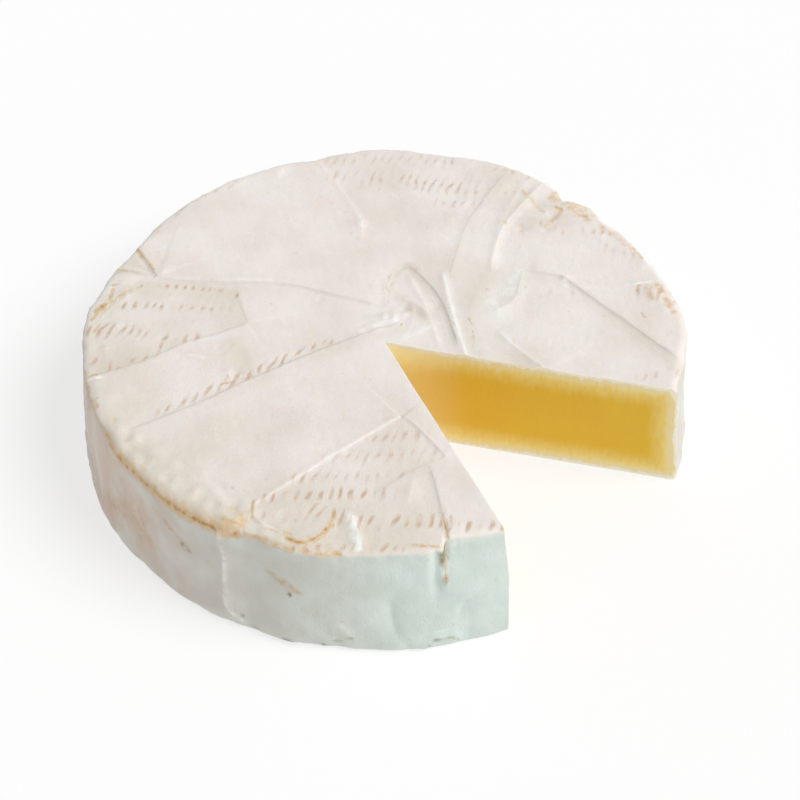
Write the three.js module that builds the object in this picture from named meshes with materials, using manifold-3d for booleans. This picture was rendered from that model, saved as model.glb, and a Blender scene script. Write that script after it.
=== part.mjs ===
// A small soft-ripened cheese wheel with a wedge cut out of it.
// Millimetres, +Z up. The origin is the middle of the underside, +Y points to the back
// and +X to the right. Angles on the wheel run counter-clockwise from +X.

import * as THREE from 'three';
import { mergeVertices } from 'three/addons/utils/BufferGeometryUtils.js';
import Module from 'manifold-3d';

// Driving dimensions of the whole wheel.
const RIM_RADIUS = 68.4; // where the top face turns over into the side
const TOP_HEIGHT = 29.0; // level of the top face
const BELLY_RADIUS = 70.4; // the side sags outwards, widest near the foot
const BELLY_HEIGHT = 3.0;
const SHOULDER_ROUND = 1.8; // rounding between top face and side
const FOOT_ROUND = 1.4; // rounding between side and underside

// The missing wedge: its point on the top face and the directions of its two cut faces.
const CUT_POINT = [0.3, -4.2];
const FRONT_CUT_ANGLE = -66.9;
const BACK_CUT_ANGLE = -13.9;
const CUT_REACH = 100.0; // runs out past the rim
const CUT_OVERSHOOT = 5.0; // and past both faces

// How finely the surface is divided.
const AROUND = 120;
const TOP_RINGS = 27;
const RING_CROWDING = 0.8; // below 1 the rings lie closer towards the rim
const ARC_STEPS = 3;
const SIDE_STEPS = 5;

// The rim isn't a true circle. Each lump pushes it out, or in where negative, by millimetres
// at an angle, over a spread in degrees to either side.
const RIM_LUMPS = [
  { angle: 180, out: 0.8, spread: 9 },
  { angle: 154, out: -1.4, spread: 9 },
  { angle: 105, out: -0.9, spread: 3 },
  { angle: 91, out: 0.9, spread: 7 },
  { angle: 63, out: 0.9, spread: 9 },
  { angle: 47, out: -2.6, spread: 2.6 },
  { angle: 35, out: -1.2, spread: 5 },
  { angle: 3, out: 1.4, spread: 9 },
  { angle: 214, out: 0.6, spread: 7 },
  { angle: 232, out: 0.6, spread: 8 },
  { angle: 252, out: 0.9, spread: 6 },
  { angle: 273, out: -0.4, spread: 5 },
];
const LUMP_AT_FOOT = 0.35; // the share of each lump that is left at the foot

// On the front, the side's rind is folded inwards over the rim, from one crease to the cut.
const TUCK_ANGLE = 280.5;
const TUCK_EDGE = 1.2; // degrees over which the crease turns in
const TUCK_FADE = 12; // degrees over which the tuck then fades out
const TUCK_DEPTH = 3.8;
const TUCK_START_HEIGHT = 15.0;

// Soft upright folds in the side's rind: a ridge where out is positive, a groove where negative.
const SIDE_FOLDS = [
  { angle: 241, out: 0.7, spread: 1.6, low: 3, high: 29 },
  { angle: 246, out: -0.5, spread: 2.5, low: 0, high: 22 },
  { angle: 271, out: -0.5, spread: 2.0, low: 3, high: 18 },
  { angle: 279, out: -0.9, spread: 1.4, low: 16, high: 29 },
  { angle: 284, out: -0.4, spread: 2.0, low: 0, high: 13 },
  { angle: 216, out: -0.5, spread: 5.0, low: 2, high: 24 },
  { angle: 196, out: 0.6, spread: 3.0, low: 12, high: 29 },
  { angle: 150, out: 0.5, spread: 3.0, low: 0, high: 20 },
  { angle: 118, out: -0.5, spread: 4.0, low: 6, high: 26 },
  { angle: 74, out: 0.5, spread: 3.0, low: 0, high: 24 },
  { angle: 24, out: -0.5, spread: 3.5, low: 4, high: 24 },
];

// The top rind's folds, each along a path of points on the top face. Lap is how far the rind
// on the path's left stands above the rind on its right: it rises over width and sinks back
// over reach. Ridge is the height of the pinched line along the path itself.
const TOP_FOLDS = [
  // The long lap from the left rim to the middle.
  { path: [[-60, 32], [-53, 19], [-36, 17.2], [-22, 16.5], [-10, 12], [0, 8.5]],
    lap: 0.8, ridge: 0.2, width: 0.9, reach: 14 },
  // The sunken panel on the left, bounded by a corner of rind that lies over it.
  { path: [[-34, 15], [-31, 2.5], [-45, -3], [-55, -10], [-64, -14]],
    lap: 0.7, ridge: 0.2, width: 0.9, reach: 12 },
  // The long straight lap from the middle to the front left.
  { path: [[5, 3.5], [-10, -4], [-30, -15.5], [-40, -22.5], [-57, -32]],
    lap: 0.9, ridge: 0.2, width: 0.8, reach: 14 },
  // The pointed lap in front, whose inside is the lower panel.
  { path: [[-29, -55], [-20, -47.5], [-10, -38.5], [2, -29], [7, -31], [14, -41]],
    lap: 0.9, ridge: 0.4, width: 0.9, reach: 12 },
  { path: [[13, -40], [5, -44], [-3, -51]], lap: 0.3, ridge: 0.1, width: 0.9, reach: 8 },
  // The upright crease that ends in the tuck at the front rim.
  { path: [[10, -44], [11, -54], [13.2, -66]], lap: 0.9, ridge: 0.1, width: 0.9, reach: 9 },
  { path: [[-7, -56], [-5.5, -67]], lap: 0.0, ridge: 0.8, width: 1.6, reach: 1 },
  // The folds that fan out from the middle to the back.
  { path: [[-5.5, 31], [-5.5, 40], [-11, 54], [-18, 67]],
    lap: 0.7, ridge: 0.4, width: 1.0, reach: 12 },
  { path: [[25, 48], [20, 37], [15.5, 18]], lap: 0.5, ridge: 0.2, width: 0.9, reach: 9 },
  { path: [[15.5, 19], [16.6, 10], [18, 0], [20, -12]], lap: 0.0, ridge: 1.2, width: 1.1, reach: 1 },
  { path: [[26, 22], [28.5, 34], [34, 44], [42, 56]],
    lap: 0.5, ridge: 0.8, width: 1.0, reach: 9 },
  // The drop-shaped hollow beside the point of the cut, and the ridge that stands in it.
  { path: [[17.5, -4], [14, 11], [9, 20.5], [5, 23.5], [1.8, 18], [0.5, 8]],
    lap: -1.0, ridge: 0.3, width: 1.2, reach: 8 },
  { path: [[6, 21], [10, 9], [13.5, -7]], lap: 0.0, ridge: 0.7, width: 0.9, reach: 1 },
  // The panel on the right: its raised inner edge, and the long lap that crosses it.
  { path: [[34, 22], [31, 10], [24.5, 5], [27, -2], [37, -14]],
    lap: 0.4, ridge: 0.5, width: 1.1, reach: 10 },
  { path: [[35, 20.5], [43, 17.5], [50, 9.5], [67, -10.5]],
    lap: 1.0, ridge: 0.2, width: 0.9, reach: 11 },
  // The flap at the left rim.
  { path: [[-68, 3], [-64, 10], [-57, 17]], lap: 0.6, ridge: 0.3, width: 1.0, reach: 7 },
];
const FOLD_STEPS = 20; // straight stretches that a fold's curve is measured along
const FOLD_TAPER = 4.0; // each fold fades in and out over this length
const SWELL_HEIGHT = 0.25; // slow unevenness of the top face
const SWELL_LENGTH = 46.0;

const RIND_COLOUR = 0xe9e0d8;
const RIND_ROUGHNESS = 0.8;

// 0 below low, 1 above high, and a smooth rise between.
function smooth(low, high, value) {
  return THREE.MathUtils.smoothstep(value, low, high);
}

// A bell curve that is 1 at 0 and about a third at one spread.
function bell(offset, spread) {
  return Math.exp(-((offset / spread) ** 2));
}

// The difference between two angles in degrees, from -180 to 180.
function turn(from, to) {
  return THREE.MathUtils.euclideanModulo(to - from + 180, 360) - 180;
}

// The wheel's profile as radius and height, from the middle of the underside, out round the
// foot and the shoulder, and in along the top face to the middle.
function wheelProfile() {
  const points = [new THREE.Vector2(0, 0)];
  const quarter = Math.PI / 2;
  for (let i = 0; i <= ARC_STEPS; i++) {
    const a = -quarter + (quarter * i) / ARC_STEPS;
    points.push(new THREE.Vector2(
      BELLY_RADIUS - FOOT_ROUND + FOOT_ROUND * Math.cos(a),
      FOOT_ROUND + FOOT_ROUND * Math.sin(a)));
  }
  const shoulderHeight = TOP_HEIGHT - SHOULDER_ROUND;
  for (let i = 0; i <= SIDE_STEPS; i++) {
    const rise = i / SIDE_STEPS;
    points.push(new THREE.Vector2(
      THREE.MathUtils.lerp(BELLY_RADIUS, RIM_RADIUS, rise),
      THREE.MathUtils.lerp(BELLY_HEIGHT, shoulderHeight, rise)));
  }
  for (let i = 1; i <= ARC_STEPS; i++) {
    const a = (quarter * i) / ARC_STEPS;
    points.push(new THREE.Vector2(
      RIM_RADIUS - SHOULDER_ROUND + SHOULDER_ROUND * Math.cos(a),
      shoulderHeight + SHOULDER_ROUND * Math.sin(a)));
  }
  for (let i = TOP_RINGS - 1; i >= 0; i--) {
    const r = (RIM_RADIUS - SHOULDER_ROUND) * (i / TOP_RINGS) ** RING_CROWDING;
    points.push(new THREE.Vector2(r, TOP_HEIGHT));
  }
  return points;
}

// How far the rim stands out, in millimetres, at an angle and a height.
function outlineOffset(angle, z) {
  let lumps = 0;
  for (const lump of RIM_LUMPS) lumps += lump.out * bell(turn(lump.angle, angle), lump.spread);
  lumps *= THREE.MathUtils.lerp(LUMP_AT_FOOT, 1, z / TOP_HEIGHT);
  const pastCrease = turn(TUCK_ANGLE, angle);
  const tuck = smooth(-TUCK_EDGE, TUCK_EDGE, pastCrease)
    * Math.exp(-Math.max(pastCrease, 0) / TUCK_FADE) * smooth(TUCK_START_HEIGHT, TOP_HEIGHT, z);
  return lumps - TUCK_DEPTH * tuck;
}

// How far a side fold pushes the side out at an angle and a height. It fades at both ends.
function sideFoldOffset(angle, z) {
  let out = 0;
  for (const fold of SIDE_FOLDS) {
    const fade = (fold.high - fold.low) / 4;
    const ends = smooth(fold.low - fade, fold.low + fade, z)
      * smooth(-fold.high - fade, -fold.high + fade, -z);
    out += fold.out * bell(turn(fold.angle, angle), fold.spread) * ends;
  }
  return out;
}

// A fold's path as a smooth curve of straight stretches.
function foldCurve(path) {
  const curve = new THREE.CatmullRomCurve3(path.map(([x, y]) => new THREE.Vector3(x, y, 0)));
  return curve.getSpacedPoints(FOLD_STEPS);
}

// Where a point lies beside a curve: its distance from it, positive on the left, and how far
// the nearest place is from the curve's nearer end.
function besideCurve(curve, x, y) {
  let nearest = { distance: Infinity, side: 0, fromStart: 0 };
  let run = 0;
  for (let i = 0; i < curve.length - 1; i++) {
    const dx = curve[i + 1].x - curve[i].x;
    const dy = curve[i + 1].y - curve[i].y;
    const length = Math.hypot(dx, dy);
    const px = x - curve[i].x;
    const py = y - curve[i].y;
    const along = THREE.MathUtils.clamp((px * dx + py * dy) / length, 0, length);
    const distance = Math.hypot(px - (dx * along) / length, py - (dy * along) / length);
    if (distance < nearest.distance) {
      nearest = { distance, side: Math.sign(dx * py - dy * px), fromStart: run + along };
    }
    run += length;
  }
  const fromEnd = Math.min(nearest.fromStart, run - nearest.fromStart);
  return { offset: nearest.side * nearest.distance, fromEnd };
}

// The height that a fold adds at a point.
function foldHeight(fold, x, y) {
  const { offset, fromEnd } = besideCurve(fold.curve, x, y);
  const lap = fold.lap * smooth(-fold.width, fold.width, offset)
    * Math.exp(-Math.max(offset, 0) / fold.reach);
  const ridge = fold.ridge * bell(offset, fold.width);
  return (lap + ridge) * smooth(0, FOLD_TAPER, fromEnd);
}

// The height that all the folds and the slow swell add to the top face at a point.
function topRelief(folds, x, y) {
  const wave = (2 * Math.PI) / SWELL_LENGTH;
  let height = SWELL_HEIGHT * Math.sin(wave * x + 0.6) * Math.cos(wave * y - 0.9);
  for (const fold of folds) height += foldHeight(fold, x, y);
  return height;
}

// The whole wheel: the profile turned round, its rim made uneven and its rind folded.
function wholeWheel() {
  const folds = TOP_FOLDS.map((fold) => ({ ...fold, curve: foldCurve(fold.path) }));
  const geometry = new THREE.LatheGeometry(wheelProfile(), AROUND);
  geometry.rotateX(Math.PI / 2);
  const position = geometry.attributes.position;
  for (let i = 0; i < position.count; i++) {
    const x = position.getX(i);
    const y = position.getY(i);
    const z = position.getZ(i);
    const radius = Math.hypot(x, y);
    const angle = THREE.MathUtils.radToDeg(Math.atan2(y, x));
    const nearRim = smooth(0.7 * RIM_RADIUS, RIM_RADIUS - SHOULDER_ROUND, radius);
    const onSide = smooth(RIM_RADIUS - SHOULDER_ROUND, RIM_RADIUS, radius)
      * smooth(0, FOOT_ROUND, z);
    const out = nearRim * outlineOffset(angle, z) + onSide * sideFoldOffset(angle, z);
    const scale = radius > 0 ? (radius + out) / radius : 1;
    const onTop = smooth(TOP_HEIGHT - SHOULDER_ROUND, TOP_HEIGHT, z);
    const lift = onTop > 0 ? onTop * topRelief(folds, x * scale, y * scale) : 0;
    position.setXYZ(i, x * scale, y * scale, z + lift);
  }
  return geometry;
}

// The space of the missing wedge: an upright prism that opens from the point of the cut.
function missingWedge() {
  const [px, py] = CUT_POINT;
  const shape = new THREE.Shape();
  shape.moveTo(px, py);
  for (const angle of [FRONT_CUT_ANGLE, BACK_CUT_ANGLE]) {
    const a = THREE.MathUtils.degToRad(angle);
    shape.lineTo(px + CUT_REACH * Math.cos(a), py + CUT_REACH * Math.sin(a));
  }
  shape.closePath();
  const depth = TOP_HEIGHT + 2 * CUT_OVERSHOOT;
  const geometry = new THREE.ExtrudeGeometry(shape, { depth, bevelEnabled: false, steps: 1 });
  geometry.translate(0, 0, -CUT_OVERSHOOT);
  return geometry;
}

const wasm = await Module();
wasm.setup();

// A closed geometry as a solid, without the flat triangles that meet at a lathe's axis.
function toSolid(geometry) {
  geometry.deleteAttribute('normal');
  geometry.deleteAttribute('uv');
  const merged = mergeVertices(geometry, 1e-4);
  const corners = merged.index.array;
  const kept = [];
  for (let i = 0; i < corners.length; i += 3) {
    const [a, b, c] = [corners[i], corners[i + 1], corners[i + 2]];
    if (a !== b && b !== c && c !== a) kept.push(a, b, c);
  }
  return new wasm.Manifold(new wasm.Mesh({
    numProp: 3,
    vertProperties: new Float32Array(merged.attributes.position.array),
    triVerts: new Uint32Array(kept),
  }));
}

// A solid as a geometry again, with its box centred on the origin from above.
function toGeometry(solid) {
  const mesh = solid.getMesh();
  const geometry = new THREE.BufferGeometry();
  geometry.setAttribute('position', new THREE.BufferAttribute(mesh.vertProperties, 3));
  geometry.setIndex(new THREE.BufferAttribute(mesh.triVerts, 1));
  geometry.computeBoundingBox();
  const middle = geometry.boundingBox.getCenter(new THREE.Vector3());
  geometry.translate(-middle.x, -middle.y, 0);
  geometry.computeVertexNormals();
  return geometry;
}

const wheel = new THREE.Mesh(
  toGeometry(toSolid(wholeWheel()).subtract(toSolid(missingWedge()))),
  new THREE.MeshStandardMaterial({ color: RIND_COLOUR, roughness: RIND_ROUGHNESS, metalness: 0 }));
wheel.name = 'brie_wheel';

const group = new THREE.Group();
group.add(wheel);

export default group;
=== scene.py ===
"""A small soft-ripened cheese wheel with a notch cut in it, in plain studio light.

Sizes are millimetres on the wheel's own axes: +X right, +Y back, +Z up, with the middle of the
underside at the origin. Angles run counter-clockwise from +X. Meshes are written in metres.
"""

import logging
import math
from dataclasses import dataclass, field
from enum import Enum
from typing import Any

import bmesh
import bpy
import numpy as np
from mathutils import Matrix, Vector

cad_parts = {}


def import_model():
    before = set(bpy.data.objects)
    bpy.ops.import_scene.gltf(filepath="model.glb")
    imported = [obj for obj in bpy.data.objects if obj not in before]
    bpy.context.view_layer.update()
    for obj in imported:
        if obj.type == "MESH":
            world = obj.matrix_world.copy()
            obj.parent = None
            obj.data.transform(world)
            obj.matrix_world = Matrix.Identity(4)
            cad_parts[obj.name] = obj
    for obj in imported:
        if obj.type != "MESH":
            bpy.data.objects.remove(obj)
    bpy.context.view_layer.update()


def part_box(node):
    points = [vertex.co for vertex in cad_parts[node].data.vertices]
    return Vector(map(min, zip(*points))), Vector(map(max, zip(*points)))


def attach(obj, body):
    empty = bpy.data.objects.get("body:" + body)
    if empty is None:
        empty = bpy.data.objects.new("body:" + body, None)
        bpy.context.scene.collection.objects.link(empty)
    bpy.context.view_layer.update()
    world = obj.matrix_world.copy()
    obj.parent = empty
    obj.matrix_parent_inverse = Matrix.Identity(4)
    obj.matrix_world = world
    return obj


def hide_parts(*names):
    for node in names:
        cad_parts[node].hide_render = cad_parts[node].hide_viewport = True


LOG = logging.getLogger("brie")
MM = 0.001  # metres in a millimetre
NODE = "brie_wheel"
SIDE_MM_PER_DEGREE = 1.22  # run along the side for a degree round the wheel
NOTCH_BEARING = -40.0  # degrees: inside the notch, so that runs along the side can start there
RIND_MASKS = (
    "beside", "step", "dark", "light", "slash", "rust", "stain", "crack_shade", "bloom_and_highlight", "shade", "side",
    "green", "warm", "flat")
PASTE_MASKS = ("inside", "point")

Points = tuple[tuple[float, float], ...]
Span = tuple[float, float]

# Long pinched lines down the sides that face away, as angles and heights. They are low ridges,
# and pale bloom with a painted highlight runs along them.
LEFT_FRONT_LINE: Points = ((197, 28), (196, 19), (198, 9), (202, 3))
LEFT_BACK_LINE: Points = ((172, 29), (170.5, 20), (171, 9), (168, 3))
BACK_LEFT_LINE: Points = ((131, 28), (132, 15), (129, 4))
BACK_RIGHT_LINE: Points = ((60, 29), (61, 19), (59, 9), (55, 3))


def smooth(low: float, high: float, value: np.ndarray) -> np.ndarray:
    """Returns 0 below low, 1 above high, and a cubic rise between."""
    share = np.clip((value - low) / (high - low), 0.0, 1.0)
    return share * share * (3.0 - 2.0 * share)


def bell(offset: np.ndarray, spread: float) -> np.ndarray:
    """Returns a bell curve: 1 at no offset and about a third at one spread."""
    return np.exp(-((offset / spread) ** 2))


def tent(distance: np.ndarray, half_width: float) -> np.ndarray:
    """Returns 1 at no distance, falling straight to 0 at the half width."""
    return np.clip(1.0 - distance / half_width, 0.0, 1.0)


def turn(start: float, angle: np.ndarray) -> np.ndarray:
    """Returns how far the angle is past the start, from -180 to 180 degrees."""
    return (angle - start + 180.0) % 360.0 - 180.0


def linear(hex_colour: str) -> tuple[float, float, float, float]:
    """Turns an sRGB hex colour to linear red, green, blue and alpha.

    Args:
        hex_colour: Six hex digits, such as "E9E1DB".

    Returns:
        The linear colour with alpha 1, by the sRGB curve.
    """
    parts = [int(hex_colour[i:i + 2], 16) / 255.0 for i in (0, 2, 4)]
    curve = [c / 12.92 if c <= 0.04045 else ((c + 0.055) / 1.055) ** 2.4 for c in parts]
    return (curve[0], curve[1], curve[2], 1.0)


def scale_for(size_mm: float) -> float:
    """Returns the texture scale at which one cell of a pattern is size_mm across."""
    return 1.0 / (size_mm * MM)


def add_node(tree: bpy.types.NodeTree, kind: str, settings: dict[str, Any],
             sockets: dict[str | int, Any]) -> bpy.types.Node:
    """Adds a shader node with its settings, values and links.

    Args:
        tree: The material's node tree.
        kind: The node's type name.
        settings: Properties of the node itself.
        sockets: Input name or number to a value, or to an output socket that is linked to it.

    Returns:
        The new node.
    """
    node = tree.nodes.new(kind)
    for name, value in settings.items():
        setattr(node, name, value)
    for name, value in sockets.items():
        if isinstance(value, bpy.types.NodeSocket):
            tree.links.new(value, node.inputs[name])
        else:
            node.inputs[name].default_value = value
    return node


class Face(Enum):
    """The three kinds of face, by the number that a face of that kind carries."""

    RIND = 0
    BACK_CUT = 1
    FRONT_CUT = 2


@dataclass(frozen=True)
class Swell:
    """Slow unevenness, as a sum of sine waves of seeded direction, length and phase.

    Each wave's height goes with its length, and the sum has about the given height.
    """

    seed: int
    height: float
    shortest: float
    longest: float
    waves: int = 16

    def at(self, points: np.ndarray) -> np.ndarray:
        """Adds up the waves: each is its length times the sine of the distance along its way.

        Args:
            points: Points, as an array whose last axis is x, y, z.

        Returns:
            The offset at each point.
        """
        draw = np.random.default_rng(self.seed)
        total = np.zeros(points.shape[:-1])
        weight = 0.0
        for _ in range(self.waves):
            length = math.exp(draw.uniform(math.log(self.shortest), math.log(self.longest)))
            way = draw.normal(size=3)
            way *= 2.0 * math.pi / (length * np.linalg.norm(way))
            total += length * np.sin(points @ way + draw.uniform(0.0, 2.0 * math.pi))
            weight += length * length / 2.0
        return self.height * total / math.sqrt(weight)


def beside(knots: np.ndarray, x: np.ndarray, y: np.ndarray) -> tuple[np.ndarray, np.ndarray]:
    """Finds where points lie beside a path of straight stretches.

    Args:
        knots: The path's points, as rows of x and y.
        x: The points' x.
        y: The points' y.

    Returns:
        The signed distance from the path, positive on its left, and the run along the path to
        the nearest place on it.
    """
    start, step = knots[:-1], np.diff(knots, axis=0)
    length = np.hypot(step[:, 0], step[:, 1])
    px, py = x[..., None] - start[:, 0], y[..., None] - start[:, 1]
    along = np.clip((px * step[:, 0] + py * step[:, 1]) / length, 0.0, length)
    gap = np.hypot(px - step[:, 0] * along / length, py - step[:, 1] * along / length)
    side = np.sign(step[:, 0] * py - step[:, 1] * px)
    nearest = gap.argmin(axis=-1)[..., None]
    offset = np.take_along_axis(gap * side, nearest, -1)[..., 0]
    before = np.concatenate([[0.0], np.cumsum(length)[:-1]])
    run = np.take_along_axis(along + before, nearest, -1)[..., 0]
    return offset, run


class Curve:
    """A smooth path through a few points, measured along straight stretches."""

    def __init__(self, points: Points | np.ndarray, steps: int = 28) -> None:
        """Runs a Catmull-Rom spline through the points and respaces it evenly.

        Args:
            points: Two or more points on the path.
            steps: How many straight stretches the path is measured along.
        """
        given = np.asarray(points, float)
        padded = np.vstack([2 * given[0] - given[1], given, 2 * given[-1] - given[-2]])
        place = np.linspace(0.0, len(given) - 1.0001, 16 * len(given))
        i = place.astype(int)
        t = (place - i)[:, None]
        a, b, c, d = (padded[i + k] for k in range(4))
        fine = 0.5 * (2 * b + (c - a) * t + (2 * a - 5 * b + 4 * c - d) * t ** 2
                      + (3 * b - a - 3 * c + d) * t ** 3)
        run = np.concatenate([[0.0], np.cumsum(np.hypot(*np.diff(fine, axis=0).T))])
        even = np.linspace(0.0, run[-1], steps + 1)
        self.knots = np.stack([np.interp(even, run, fine[:, k]) for k in range(2)], axis=1)
        self.length = float(run[-1])

    def beside(self, x: np.ndarray, y: np.ndarray) -> tuple[np.ndarray, np.ndarray]:
        """Returns the points' signed distance from the curve, positive on its left, and the run."""
        return beside(self.knots, x, y)


@dataclass(frozen=True)
class Fold:
    """A fold of the top rind along a path.

    The rind on the path's left stands above the rind on its right by lap: it rises over
    width and sinks back over reach. Ridge is the height of the pinched line along the path.
    Dark is how strongly painted shade darkens the foot of the step, and light how strongly a painted
    highlight whitens its crest.
    Taper is the length over which it fades in at the start and out at the end.
    """

    path: Points
    lap: float
    ridge: float
    width: float
    reach: float
    dark: float = 0.0
    light: float = 0.0
    taper: Span = (4.0, 4.0)


@dataclass(frozen=True)
class Stroke:
    """A mark or a small ridge drawn along a path, strongest on it and gone at its half width.

    On the top face the path is x and y. On the side it is an angle in degrees and a height.
    """

    path: Points
    half_width: float
    strength: float

    def cover(self, across: np.ndarray, up: np.ndarray, stretch: float = 1.0) -> np.ndarray:
        """Works out how strong the stroke is: a tent of the distance from its smooth path.

        Args:
            across: The points' x, or their run along the side.
            up: The points' y, or their height on the side.
            stretch: What the path's first numbers are multiplied by, to match across.

        Returns:
            The strength at each point.
        """
        path = np.array(self.path) * (stretch, 1.0)
        low, high = path.min(axis=0) - 2.0 * self.half_width, path.max(axis=0) + 2.0 * self.half_width
        near = (across > low[0]) & (across < high[0]) & (up > low[1]) & (up < high[1])
        offset, _ = Curve(path, 4 * len(path)).beside(across[near], up[near])
        strength = np.zeros_like(up)
        strength[near] = self.strength * tent(np.abs(offset), self.half_width)
        return strength


@dataclass(frozen=True)
class Panel:
    """A patch of painted shade on the top face, inside an outline of straight stretches."""

    outline: Points
    strength: float
    edge: float = 1.0

    def cover(self, x: np.ndarray, y: np.ndarray) -> np.ndarray:
        """Works out the strength inside the outline, faded over its edge.

        A point is inside where a line from it towards +X crosses the outline an odd number
        of times.

        Args:
            x: The points' x.
            y: The points' y.

        Returns:
            The strength at each point.
        """
        ring = np.array([*self.outline, self.outline[0]])
        (x0, y0), (x1, y1) = ring[:-1].T, ring[1:].T
        rise = np.where(y1 == y0, 1.0, y1 - y0)
        across = x0 + (x1 - x0) * (y[..., None] - y0) / rise
        crossed = ((y0 > y[..., None]) != (y1 > y[..., None])) & (x[..., None] < across)
        inside = crossed.sum(axis=-1) % 2 == 1
        away = np.abs(beside(ring, x, y)[0])
        return self.strength * smooth(-self.edge, self.edge, np.where(inside, away, -away))


@dataclass(frozen=True)
class Spot:
    """A round bump on the top face at x, y, or a dent where its height is negative."""

    x: float
    y: float
    radius: float
    height: float


@dataclass(frozen=True)
class SidePatch:
    """A patch or broad fold of the side: an angle with its spread, and the heights it spans."""

    angle: float
    spread: float
    low: float
    high: float
    strength: float

    def cover(self, angle: np.ndarray, z: np.ndarray) -> np.ndarray:
        """Works out the strength: a bell across, times a smooth fade at both ends.

        Args:
            angle: The points' angles in degrees.
            z: The points' heights.

        Returns:
            The strength at each point.
        """
        fade = (self.high - self.low) / 4.0
        ends = smooth(self.low - fade, self.low + fade, z)
        ends = ends * (1.0 - smooth(self.high - fade, self.high + fade, z))
        return self.strength * bell(turn(self.angle, angle), self.spread) * ends


@dataclass(frozen=True)
class RimLump:
    """A place where the rim stands out by some millimetres, or in where that is negative.

    It is a bell of the angle, a spread of degrees wide to each side.
    """

    angle: float
    out: float
    spread: float


def unwound(angle: np.ndarray) -> np.ndarray:
    """Returns angles as a run along the side in millimetres that has no jump on the wheel."""
    return ((angle - NOTCH_BEARING) % 360.0 + NOTCH_BEARING) * SIDE_MM_PER_DEGREE


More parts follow.
